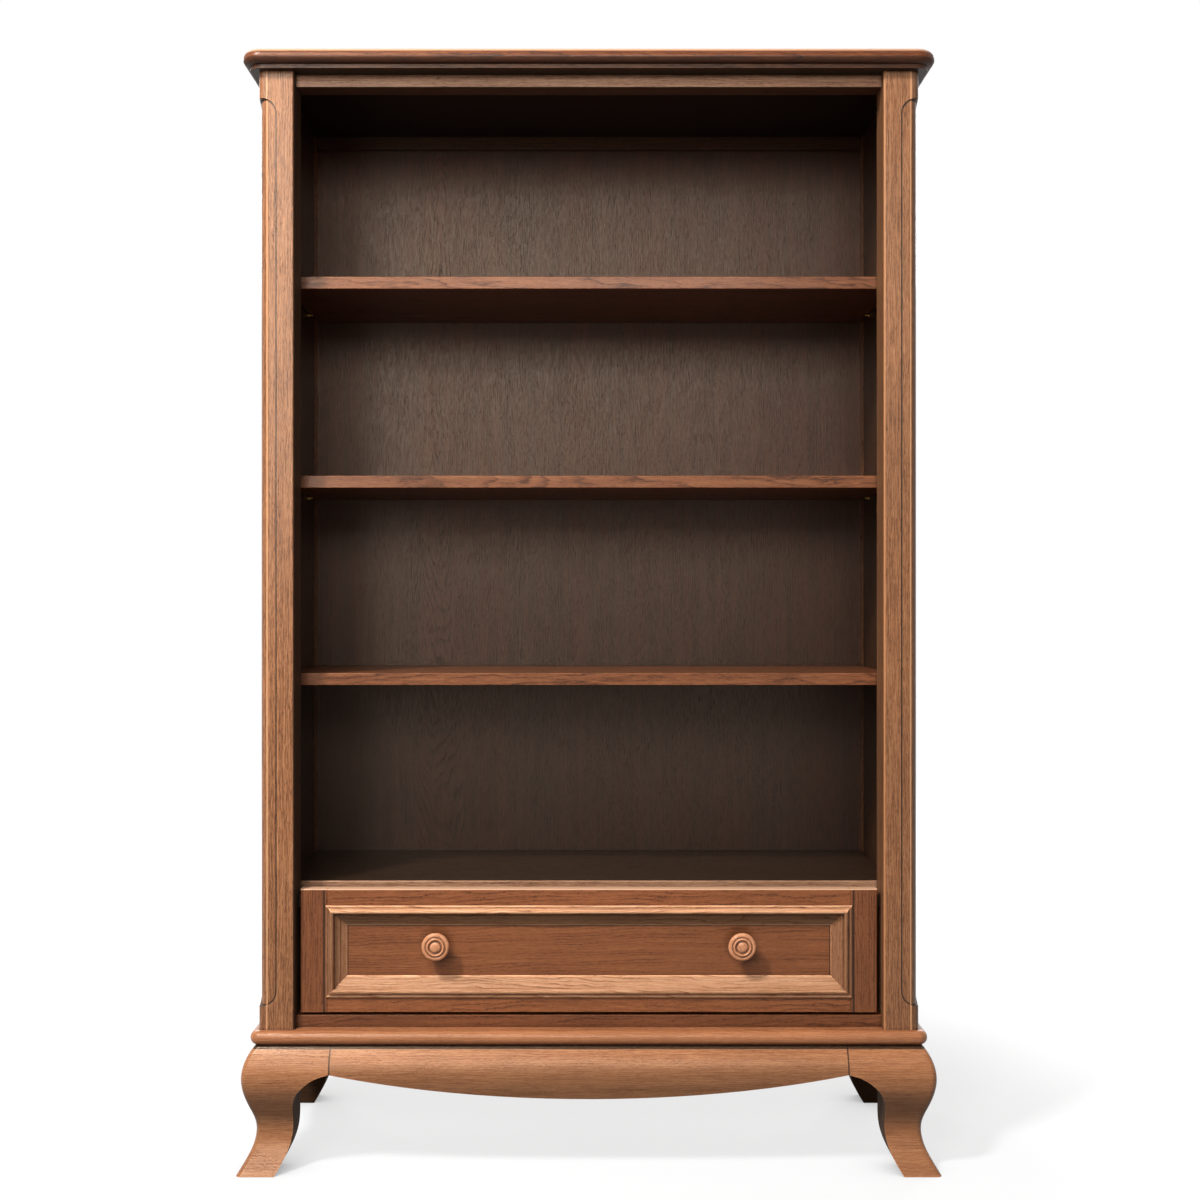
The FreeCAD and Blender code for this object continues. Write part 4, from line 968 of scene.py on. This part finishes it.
# Lit and shaded copies of one moulding finish, as painted light and shade: the lighter one for the top and
# bottom mouldings, the darker one for the side mouldings.
LIT_MOULDING_OAK = Oak("moulding_oak", (100, 63, 42), (176, 126, 91), (224, 179, 144), ring_width=5.5 * MM,
                   ring_depth=0.18, wander=2.0, fleck_depth=0.12, streak_depth=0.16,
                   pore_length=7 * MM, pore_depth=0.22, specular=0.18, coat=0.0)
SHADED_SIDE_MOULDING_OAK = Oak("side_moulding_oak", (73, 42, 24), (132, 87, 58), (169, 125, 93), ring_depth=0.12,
                        fleck_depth=0.12, streak_depth=0.16)
BASE_OAK = Oak("base_oak", (98, 55, 30), (161, 100, 63), (203, 141, 97), ring_depth=0.08,
               fleck_depth=0.10, streak_depth=0.16, pore_length=6 * MM, pore_depth=0.2, roughness=0.26,
               specular=0.36)
FOOT_OAK = Oak("foot_oak", (88, 48, 28), (151, 96, 61), (193, 138, 96), ring_depth=0.10,
               fleck_depth=0.15, streak_depth=0.2, pore_length=6 * MM, pore_depth=0.3, roughness=0.28,
               specular=0.40, coat=0.0)
KNOB_OAK = Oak("knob_oak", (112, 67, 42), (198, 133, 93), (240, 176, 135), ring_depth=0.10,
               painted_shade=0.95, painted_shade_reach=4 * MM, fleck_depth=0.12, pore_length=4 * MM, pore_depth=0.25,
               coat=0.25)
PALE_OAK = Oak("pale_oak", (150, 116, 78), (196, 164, 122), (222, 194, 154), fleck_depth=0.12,
               roughness=0.55, wear_and_highlight=0.1)
BEECH = Oak("beech", (170, 128, 94), (204, 166, 130), (224, 192, 158), ring_depth=0.08,
            fleck_depth=0.1, pore_depth=0.1, roughness=0.55, wear_and_highlight=0.1)
PINE = Oak("pine", (184, 138, 88), (218, 180, 130), (236, 206, 160), pore_depth=0.05,
           fleck_depth=0.1, roughness=0.6, wear_and_highlight=0.1)
PLYWOOD = Oak("plywood", (176, 140, 100), (206, 174, 134), (224, 198, 162), ring_depth=0.12,
              fleck_depth=0.12, roughness=0.6, wear_and_highlight=0.1)
# Painted shade inside the case, behind the lips: on the shelves, the deck, the top's underside and rear
# rail, the walls, and on the pine rail and cleats seen through the drawer's gaps.
SHELF_INSIDE_SHADE = InsideShade(lip_rear=-122 * MM, shade=0.75)
DECK_INSIDE_SHADE = InsideShade(lip_rear=-128 * MM, shade=0.085)
TOP_INSIDE_SHADE = InsideShade(lip_rear=-200 * MM, shade=0.36)
WALL_INSIDE_SHADE = InsideShade(lip_rear=-200 * MM, shade=0.15)
GAP_INSIDE_SHADE = InsideShade(lip_rear=-200 * MM, floor=450 * MM, shade=0.04)
STEEL = Metal("screw_steel", (180, 178, 172))
BRASS = Metal("pin_brass", (206, 166, 92))


class Head(Enum):
    """The shape of a screw's head."""

    SUNK = "a cone let into the wood"
    PAN = "a low dome that stands on the wood"


# The rings of a head, as shares of its radius and height.
HEAD_RINGS = {
    Head.SUNK: ((0.57, 0.0), (0.99, 0.94), (1.0, 0.97), (0.97, 1.0), (0.70, 1.0)),
    Head.PAN: ((0.57, 0.0), (0.96, 0.0), (1.0, 0.10), (1.0, 0.34), (0.95, 0.62), (0.85, 0.84), (0.72, 0.96),
               (0.62, 1.0)),
}


@dataclass(frozen=True)
class Screw:
    """A wood screw: a pointed thread, a plain shank and a head with a cross recess."""

    head: Head
    head_height: float
    head_radius: float = 3.5 * MM
    shank_radius: float = 2.0 * MM
    core_radius: float = 1.35 * MM
    pitch: float = 1.8 * MM
    point: float = 4.5 * MM
    threaded: float = 0.62
    crest_half: float = 0.25
    runout: float = 0.9
    recess_reach: float = 1.9 * MM
    recess_half: float = 0.42 * MM
    recess_depth: float = 0.9 * MM
    recess_floor: float = 0.72
    sides: int = 24
    rings_per_turn: int = 8

    def build(self, mesh: bmesh.types.BMesh, length: float, placing: Matrix) -> None:
        """Add one screw to a mesh, its point at the placing's origin and its head along Z.

        Args:
            mesh: the mesh to add to.
            length: from the point to the head's top.
            placing: where the screw stands.
        """
        neck = length - self.head_height
        loops = self.thread(mesh, neck)
        for out, up in HEAD_RINGS[self.head]:
            level = neck + self.head_height * up
            loops.append(self.loop(mesh, [self.head_radius * out] * self.sides, level))
        for low, high in zip(loops, loops[1:]):
            self.join(mesh, low, high)
        tip = mesh.verts.new((0.0, 0.0, 0.0))
        for number in range(self.sides):
            mesh.faces.new((loops[0][number - 1], tip, loops[0][number]))
        made = [vertex for loop in loops for vertex in loop] + [tip]
        made += self.recess(mesh, loops[-1], length)
        bmesh.ops.transform(mesh, matrix=placing, verts=made)

    def thread(self, mesh: bmesh.types.BMesh, neck: float) -> list[Loop]:
        """The helical thread, from just over the point to the plain shank.

        Args:
            mesh: the mesh to add to.
            neck: where the head starts.

        Returns:
            The loops of points from the point to the plain shank.
        """
        end = neck * self.threaded
        step = self.pitch / self.rings_per_turn
        rise = self.shank_radius - self.core_radius
        loops = []
        for ring in range(1, int(end / step)):
            level = ring * step
            taper = min(1.0, level / self.point)
            fading = min(1.0, (end - level) / self.pitch)
            core = self.core_radius + rise * (1.0 - fading) * self.runout
            radii = []
            for side in range(self.sides):
                turn = (level / self.pitch - side / self.sides) % 1.0
                crest = max(0.0, 1.0 - abs(turn - 0.5) / self.crest_half) * fading
                radii.append(taper * (core + (self.shank_radius - core) * crest))
            loops.append(self.loop(mesh, radii, level))
        loops.append(self.loop(mesh, [self.shank_radius] * self.sides, end))
        return loops

    def recess(self, mesh: bmesh.types.BMesh, rim: Loop, top: float) -> Loop:
        """Close the head's flat top round a cross recess with sloping walls.

        Args:
            mesh: the mesh to add to.
            rim: the points round the flat top.
            top: the flat top's level.

        Returns:
            The recess's points.
        """
        mouth = self.cross(mesh, 1.0, top)
        floor = self.cross(mesh, self.recess_floor, top - self.recess_depth)
        self.join(mesh, mouth, floor)
        mesh.faces.new(floor)
        edges = [mesh.edges.get((outline[number - 1], vertex))
                 for outline in (rim, mouth) for number, vertex in enumerate(outline)]
        bmesh.ops.triangle_fill(mesh, use_beauty=True, use_dissolve=False, edges=edges)
        return mouth + floor

    def cross(self, mesh: bmesh.types.BMesh, share: float, level: float) -> Loop:
        """The outline of a cross.

        Args:
            mesh: the mesh to add to.
            share: its size, where 1 is the recess's mouth.
            level: its level.

        Returns:
            Its twelve corners in order.
        """
        reach, half = self.recess_reach * share, self.recess_half * share
        points = []
        for turn in range(4):
            for x, y in ((reach, -half), (reach, half), (half, half)):
                for _ in range(turn):
                    x, y = -y, x
                points.append(mesh.verts.new((x, y, level)))
        return points

    def loop(self, mesh: bmesh.types.BMesh, radii: list[float], level: float) -> Loop:
        """Add a ring of points round the screw's axis, each at its own distance from it."""
        turns = (math.tau * side / self.sides for side in range(self.sides))
        return [mesh.verts.new((radius * math.cos(turn), radius * math.sin(turn), level))
                for radius, turn in zip(radii, turns)]

    def join(self, mesh: bmesh.types.BMesh, low: Loop, high: Loop) -> None:
        """Close the band between two rings of as many points."""
        for number in range(len(low)):
            mesh.faces.new((low[number - 1], low[number], high[number], high[number - 1]))


def new_object(name: str, data: bpy.types.ID) -> bpy.types.Object:
    """Make an object and put it in the scene.

    Args:
        name: the object's name.
        data: its mesh, light or camera.

    Returns:
        The object.
    """
    made = bpy.data.objects.new(name, data)
    bpy.context.scene.collection.objects.link(made)
    return made


@dataclass(frozen=True)
class ScrewRow:
    """Screws in mirrored pairs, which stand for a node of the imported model."""

    node: str
    body: str
    screw: Screw
    pairs: int
    sideways: bool = False

    def build(self) -> None:
        """Turn and drive the screws, and give them their finish."""
        low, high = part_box(self.node)
        rim = self.screw.head_radius
        along, end = (low.y, high.y) if self.sideways else (low.z, high.z)
        mesh = bmesh.new()
        for number in range(self.pairs):
            share = number / (self.pairs - 1) if self.pairs > 1 else 0.5
            place = along + rim + (end - along - 2 * rim) * share
            for side in (-1, 1):
                if self.sideways:
                    tip = Vector((side * high.x, place, (low.z + high.z) / 2))
                    facing, length = Vector((-side, 0, 0)), high.x - self.inner_reach()
                else:
                    tip = Vector((side * (high.x - rim), low.y, place))
                    facing, length = Vector((0, 1, 0)), high.y - low.y
                turned = facing.to_track_quat("Z", "Y").to_matrix().to_4x4()
                self.screw.build(mesh, length, Matrix.Translation(tip) @ turned)
        bmesh.ops.recalc_face_normals(mesh, faces=mesh.faces)
        shown = bpy.data.meshes.new(f"{self.node}_turned")
        mesh.to_mesh(shown)
        mesh.free()
        shown.set_sharp_from_angle(angle=SHARP_ANGLE)
        piece = new_object(f"{self.node}_turned", shown)
        STEEL.cover(piece, self.node)
        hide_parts(self.node)
        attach(piece, self.body)
        log.info("%s: %d screws", self.node, self.pairs * 2)

    def inner_reach(self) -> float:
        """How near the middle plane the heads of sideways screws come."""
        return min(abs(vertex.co.x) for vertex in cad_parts[self.node].data.vertices)


@dataclass
class Carcass:
    """The top, the posts, the walls and the back."""

    # Where the painted highlights and painted shade lie on the front posts, the top's nose and the back
    # panel, and the highlights' colours.
    highlight_corner: float = 576 * MM
    outer_corner: float = 584 * MM
    inner_corner: float = 528.6 * MM
    nose_foot: float = 1 * MM
    back_highlight_inset: float = 2 * MM
    painted_highlight: Colour = (206, 150, 108)
    painted_highlight_inner: Colour = (214, 144, 94)
    painted_highlight_nose: Colour = (208, 160, 126)
    screws: ScrewRow = ScrewRow("back_panel_screws", "carcass", Screw(Head.PAN, 1.2 * MM), 6)

    def build(self) -> None:
        """Drive the screws that hold the back panel."""
        self.screws.build()

    def dress(self) -> None:
        """Give each board its finish and grain."""
        low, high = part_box("top_board")
        # On the top: painted shade inside the case and on its down-facing faces, a painted highlight along
        # the nose's top, and a line of painted shade just above the underside.
        TOP_OAK.paint("top_board", Grain.ACROSS, Cut.RIFT, TOP_INSIDE_SHADE,
                      UnderShade(shade=0.36, start=0.0, full=0.3),
                      Lines(level=high.z, half_width=3.4 * MM, fade=5.5 * MM, painted_highlight=self.painted_highlight_nose),
                      Lines(level=low.z + self.nose_foot, half_width=3.0 * MM, fade=2.0 * MM, shade=0.4))
        # Painted shade under the front rail, and on the rear rail inside the case.
        RAIL_OAK.paint("top_front_rail", Grain.ACROSS, Cut.QUARTER, UnderShade(shade=0.3))
        SHELF_OAK.paint("top_rear_rail", Grain.ACROSS, Cut.QUARTER, TOP_INSIDE_SHADE)
        # On the front posts painted shade in the recess, painted highlights and painted shade along the
        # corners and on the inner faces; on the walls painted shade inside the case.
        for side, wear_and_painted_light in (("left", self.painted_light_left()), ("right", self.painted_light_right())):
            POST_OAK.paint(f"front_post_{side}", Grain.UPRIGHT, Cut.QUARTER, RecessShade(), *wear_and_painted_light)
            POST_OAK.paint(f"rear_post_{side}", Grain.UPRIGHT, Cut.QUARTER)
            SIDE_OAK.paint(f"side_panel_{side}", Grain.UPRIGHT, Cut.PLAIN, WALL_INSIDE_SHADE)
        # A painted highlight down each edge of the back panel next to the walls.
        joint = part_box("side_panel_right")[0].x - self.back_highlight_inset
        BACK_OAK.paint("back_panel", Grain.UPRIGHT, Cut.PLAIN,
                       Lines(upright=joint, half_width=0.7 * MM, shade=1.9))
        BEECH.paint("top_dowels", Grain.UPRIGHT, Cut.RIFT)
        log.info("carcass dressed")

    def painted_light_left(self) -> tuple[Mark, ...]:
        """The painted highlight on the corner and the painted shade on the inner face of the left front
        post.
        """
        return (Lines(upright=self.highlight_corner, half_width=0.5 * MM, fade=1.2 * MM, painted_highlight=self.painted_highlight),
                TuckedShade(shade=0.15, roughness=0.7))

    def painted_light_right(self) -> tuple[Mark, ...]:
        """Painted shade and a painted highlight on the right front post's outer corner, a painted highlight
        on its inner corner and painted shade on its inner face.
        """
        return (Lines(upright=self.outer_corner, half_width=4.6 * MM, fade=1.4 * MM, shade=0.55),
                Lines(upright=self.highlight_corner, half_width=0.6 * MM, fade=1.2 * MM, painted_highlight=self.painted_highlight),
                Lines(upright=self.inner_corner, half_width=0.8 * MM, fade=1.0 * MM,
                      painted_highlight=self.painted_highlight_inner),
                TuckedShade(shade=0.5, roughness=0.7))


@dataclass
class Shelves:
    """The three loose shelves and their pins."""

    def build(self) -> None:
        """The shelves and pins are shown as they are packed."""

    def dress(self) -> None:
        """Give each board its finish and grain."""
        # Painted shade on the shelves behind their lips.
        for level in ("upper", "middle", "lower"):
            SHELF_OAK.paint(f"shelf_{level}", Grain.ACROSS, Cut.RIFT, SHELF_INSIDE_SHADE)
        BRASS.paint("shelf_pins")
        log.info("shelves dressed")


@dataclass
class DrawerBay:
    """The fixed boards round the drawer."""

    screws: ScrewRow = ScrewRow("runner_screws", "carcass", Screw(Head.SUNK, 2.5 * MM), 3, sideways=True)

    def build(self) -> None:
        """Drive the screws that hold the runners."""
        self.screws.build()

    def dress(self) -> None:
        """Give each board its finish and grain."""
        # Painted shade on the deck inside the case, and on the pine rail and cleats seen through the
        # drawer's gaps.
        DECK_OAK.paint("drawer_deck", Grain.ACROSS, Cut.RIFT, DECK_INSIDE_SHADE)
        LOW_RAIL_OAK.paint("bottom_rail", Grain.ACROSS, Cut.RIFT)
        PLYWOOD.paint("bottom_board", Grain.ACROSS, Cut.PLAIN)
        PINE.paint("deck_front_rail", Grain.ACROSS, Cut.RIFT, GAP_INSIDE_SHADE)
        for side in SIDES:
            PINE.paint(f"deck_cleat_{side}", Grain.DEPTH, Cut.RIFT, GAP_INSIDE_SHADE)
            SIDE_OAK.paint(f"drawer_guide_{side}", Grain.DEPTH, Cut.RIFT)
            BEECH.paint(f"drawer_runner_{side}", Grain.DEPTH, Cut.QUARTER)
        log.info("drawer bay dressed")


@dataclass
class Base:
    """The base moulding, the feet and the aprons."""

    seam: float = 461 * MM
    # Heights of the painted shadow under the base moulding, the painted sheen across the feet and apron, and
    # the painted shade on the ankles and the apron's lower part.
    foot_head: float = 226 * MM
    shadow_gap: float = 6.2 * MM
    painted_sheen_level: float = 200 * MM
    ankle_level: float = 105 * MM
    apron_level: float = 170 * MM

    def build(self) -> None:
        """The base is shown as it is packed."""

    def dress(self) -> None:
        """Give each piece its finish and grain."""
        # Painted shadow under the base moulding, painted shade on down-facing faces, ankles and the apron's
        # lower part, a painted sheen across the tops, and dark seams; the tucked faces below get painted
        # shade.
        shadow_under_base = Lines(level=self.foot_head, half_width=self.shadow_gap)
        down_shade = UnderShade(shade=0.42, roughness=0.5, start=0.0, full=0.5)
        wear_and_painted_light = Lines(level=self.painted_sheen_level, half_width=10 * MM, fade=22 * MM, shade=1.14)
        ankle_shade = Lines(level=self.ankle_level, half_width=20 * MM, fade=32 * MM, shade=0.80)
        apron_low_shade = Lines(level=self.apron_level, half_width=14 * MM, fade=20 * MM, shade=0.72)
        front = (wear_and_painted_light, Lines(upright=self.seam), shadow_under_base)
        for node in ("base_moulding_front", "base_rear_rail"):
            BASE_OAK.paint(node, Grain.ACROSS, Cut.QUARTER)
        FOOT_OAK.paint("front_apron", Grain.ACROSS, Cut.QUARTER, *front, apron_low_shade, down_shade)
        FOOT_OAK.paint("rear_apron", Grain.ACROSS, Cut.RIFT, shadow_under_base, TuckedShade(front=True))
        for side in SIDES:
            BASE_OAK.paint(f"base_moulding_{side}", Grain.DEPTH, Cut.QUARTER)
            FOOT_OAK.paint(f"front_foot_{side}", Grain.ACROSS, Cut.QUARTER, *front, ankle_shade, down_shade,
                           TuckedShade())
            FOOT_OAK.paint(f"rear_foot_{side}", Grain.ACROSS, Cut.QUARTER, shadow_under_base, TuckedShade(front=True))
            FOOT_OAK.paint(f"side_apron_{side}", Grain.DEPTH, Cut.QUARTER, shadow_under_base, TuckedShade())
        PINE.paint("glue_blocks", Grain.ACROSS, Cut.RIFT)
        BEECH.paint("foot_dowels", Grain.UPRIGHT, Cut.RIFT)
        log.info("base dressed")


@dataclass
class Drawer:
    """The drawer: its framed front, its box and its knobs."""

    # The half height of the painted highlight along the top moulding's upper edge, and the colour of the
    # painted highlight along the frame's top edge.
    bead_half: float = 5 * MM
    painted_highlight: Colour = (206, 160, 128)
    front_screws: ScrewRow = ScrewRow("drawer_front_screws", "drawer", Screw(Head.SUNK, 2.5 * MM), 2)
    knob_screws: ScrewRow = ScrewRow("knob_screws", "drawer", Screw(Head.PAN, 2.5 * MM), 1)

    def build(self) -> None:
        """Drive the screws of the front and of the knobs."""
        self.front_screws.build()
        self.knob_screws.build()

    def dress(self) -> None:
        """Give each piece its finish and grain."""
        rail_end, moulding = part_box("drawer_rail_top")[1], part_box("drawer_moulding_top")
        # Dark seams on the frame and a painted highlight along its top edge, and a painted highlight along
        # the top moulding's upper edge.
        frame_marks = (Lines(upright=rail_end.x),
                       Lines(level=rail_end.z, half_width=1.0 * MM, fade=1.6 * MM, painted_highlight=self.painted_highlight))
        bead_highlight = Lines(level=moulding[1].z - self.bead_half, half_width=self.bead_half, fade=1.5 * MM,
                     shade=1.4)
        for side in SIDES:
            STILE_OAK.paint(f"drawer_stile_{side}", Grain.UPRIGHT, Cut.QUARTER, *frame_marks)
            SHADED_SIDE_MOULDING_OAK.paint(f"drawer_moulding_{side}", Grain.UPRIGHT, Cut.QUARTER)
            PALE_OAK.paint(f"drawer_side_{side}", Grain.DEPTH, Cut.RIFT)
            KNOB_OAK.paint(f"knob_{side}", Grain.DEPTH, Cut.RIFT)
        # Painted shade on the top moulding's down-facing slope.
        for side, marks in (("top", (UnderShade(shade=0.38), bead_highlight)), ("bottom", ())):
            DRAWER_OAK.paint(f"drawer_rail_{side}", Grain.ACROSS, Cut.RIFT, *frame_marks)
            LIT_MOULDING_OAK.paint(f"drawer_moulding_{side}", Grain.ACROSS, Cut.RIFT, *marks)
        PANEL_OAK.paint("drawer_panel", Grain.ACROSS, Cut.RIFT,
                        Lines(upright=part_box("drawer_moulding_right")[0].x, level=moulding[0].z))
        for node in ("drawer_sub_front", "drawer_back"):
            PALE_OAK.paint(node, Grain.ACROSS, Cut.RIFT)
        PLYWOOD.paint("drawer_bottom", Grain.ACROSS, Cut.PLAIN)
        log.info("drawer dressed")


@dataclass
class Lamp:
    """One soft box, with its width, height, power and the spread of its light in degrees."""

    name: str
    place: Point
    aim: Point
    width: float
    height: float
    power: float
    spread: float

    def build(self) -> None:
        """Hang the soft box and point it."""
        light = bpy.data.lights.new(self.name, "AREA")
        light.shape = "RECTANGLE"
        light.size = self.width
        light.size_y = self.height
        light.energy = self.power
        light.spread = math.radians(self.spread)
        holder = new_object(self.name, light)
        holder.location = self.place
        holder.rotation_euler = (Vector(self.aim) - Vector(self.place)).to_track_quat("-Z", "Y").to_euler()


@dataclass
class Studio:
    """The pale floor, the white surroundings, the lamps and the camera."""

    floor_half: float = 9.0
    floor_tone: float = 0.24
    floor_bounce: float = 0.06
    floor_lift: float = 0.75
    contact_reach: float = 0.10
    contact_shade: float = 0.45
    floor_near: float = 0.75
    floor_far: float = 1.5
    world_light: float = 0.015
    picture_side: int = 1200
    focal_pixels: float = 1566.0
    vanishing_point: Range = (588.85, 601.0)
    eye_height: float = 1.018
    eye_distance: float = 2.8
    sensor: float = 36.0
    lamps: list[Lamp] = field(default_factory=lambda: [
        Lamp("near_box", (-2.2, -2.7, 4.2), (-0.3, -0.1, 1.1), 0.6, 0.8, 80, 100),
        Lamp("key_box", (-1.9, -5.4, 3.7), (-0.3, 0.0, 1.1), 2.0, 1.6, 11, 100),
        Lamp("veil_low", (-1.44, -4.6, 2.3), (-0.56, -0.2, 1.4), 0.9, 2.2, 12, 90),
        Lamp("veil_high", (-1.35, -4.3, 4.7), (-0.5, -0.2, 0.4), 1.0, 2.0, 15, 90),
        Lamp("veil_back", (0.05, -4.6, 2.5), (0.05, 0.2, 1.5), 1.6, 1.1, 15, 90),
        Lamp("side_left", (-2.8, 5.2, 3.6), (-0.6, 0.0, 0.9), 1.4, 1.8, 50, 140),
        Lamp("side_right", (2.8, 5.2, 3.6), (0.6, 0.0, 0.9), 1.4, 1.8, 50, 140),
        Lamp("rear_box", (0.5, 4.6, 3.8), (0.0, 0.2, 1.0), 2.0, 2.0, 12, 140),
    ])

    def build(self) -> None:
        """Set the floor, the surroundings, the lamps and the camera."""
        self.build_floor()
        self.build_world()
        for lamp in self.lamps:
            lamp.build()
        self.build_camera()
        bpy.context.scene.view_settings.view_transform = "Standard"
        log.info("studio built with %d lamps", len(self.lamps))

    def seen_ray(self, graph: Graph) -> Socket:
        """A number that is 1 for a ray from the camera, or by way of gloss or glass.

        Args:
            graph: the material's graph.

        Returns:
            The number's socket.
        """
        path = graph.add("ShaderNodeLightPath")
        seen = graph.sum("MAXIMUM", path.outputs["Is Camera Ray"], path.outputs["Is Glossy Ray"])
        return graph.sum("MAXIMUM", seen, path.outputs["Is Transmission Ray"])

    def build_floor(self) -> None:
        """A plain pale floor that keeps the bookcase's shadow, with a painted contact shadow near the
        bookcase.
        """
        half = self.floor_half
        mesh = bpy.data.meshes.new("floor")
        corners = [(-half, -half, 0), (half, -half, 0), (half, half, 0), (-half, half, 0)]
        mesh.from_pydata(corners, [], [(0, 1, 2, 3)])
        floor = new_object("floor", mesh)
        made, graph = new_material("pale_floor")
        tone = graph.scale(self.seen_ray(graph), self.floor_tone - self.floor_bounce, self.floor_bounce)
        paint = graph.add("ShaderNodeBsdfDiffuse", {"Color": tone})
        reach = graph.add("ShaderNodeVectorMath", operation="LENGTH")
        graph.feed(reach.inputs[0], graph.read())
        away = graph.span(reach.outputs["Value"], self.floor_near, self.floor_far)
        strength = graph.scale(away, 1.0 - self.floor_lift, self.floor_lift)
        # Painted contact shadow: the floor's lift is darker where the bookcase is near.
        open_share = graph.hollow(self.contact_reach, FLOOR_SAMPLES)
        strength = graph.times(strength, graph.span(open_share, 0.0, 1.0, self.contact_shade, 1.0))
        lift = graph.add("ShaderNodeEmission", {"Strength": graph.times(self.seen_ray(graph), strength)})
        graph.show(graph.fill("ShaderNodeAddShader", paint.outputs[0], lift.outputs[0]))
        cover(floor, made)

    def build_world(self) -> None:
        """White surroundings that light the bookcase gently."""
        world = bpy.data.worlds.new("surroundings")
        bpy.context.scene.world = world
        world.use_nodes = True
        graph = Graph(world.node_tree)
        strength = graph.scale(self.seen_ray(graph), 1.0 - self.world_light, self.world_light)
        sky = graph.add("ShaderNodeBackground", {"Color": (1.0, 1.0, 1.0, 1.0), "Strength": strength})
        graph.show(sky.outputs[0], "World")

    def build_camera(self) -> None:
        """A level camera in front of the bookcase, at the photograph's distance."""
        camera = bpy.data.cameras.new("camera")
        camera.sensor_width = self.sensor
        camera.lens = self.sensor * self.focal_pixels / self.picture_side
        middle = self.picture_side / 2
        camera.shift_x = (middle - self.vanishing_point[0]) / self.picture_side
        camera.shift_y = (self.vanishing_point[1] - middle) / self.picture_side
        holder = new_object("camera", camera)
        post_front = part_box("front_post_left")[0].y
        holder.location = (0.0, post_front - self.eye_distance, self.eye_height)
        holder.rotation_euler = (math.radians(90), 0.0, 0.0)
        bpy.context.scene.camera = holder


def main() -> None:
    """Build and dress the bookcase and set up the studio."""
    logging.basicConfig(level=logging.INFO, format="%(message)s")
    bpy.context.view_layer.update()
    for part in (Carcass(), Shelves(), DrawerBay(), Base(), Drawer()):
        part.build()
        part.dress()
    Studio().build()


if __name__ == "__main__":
    main()
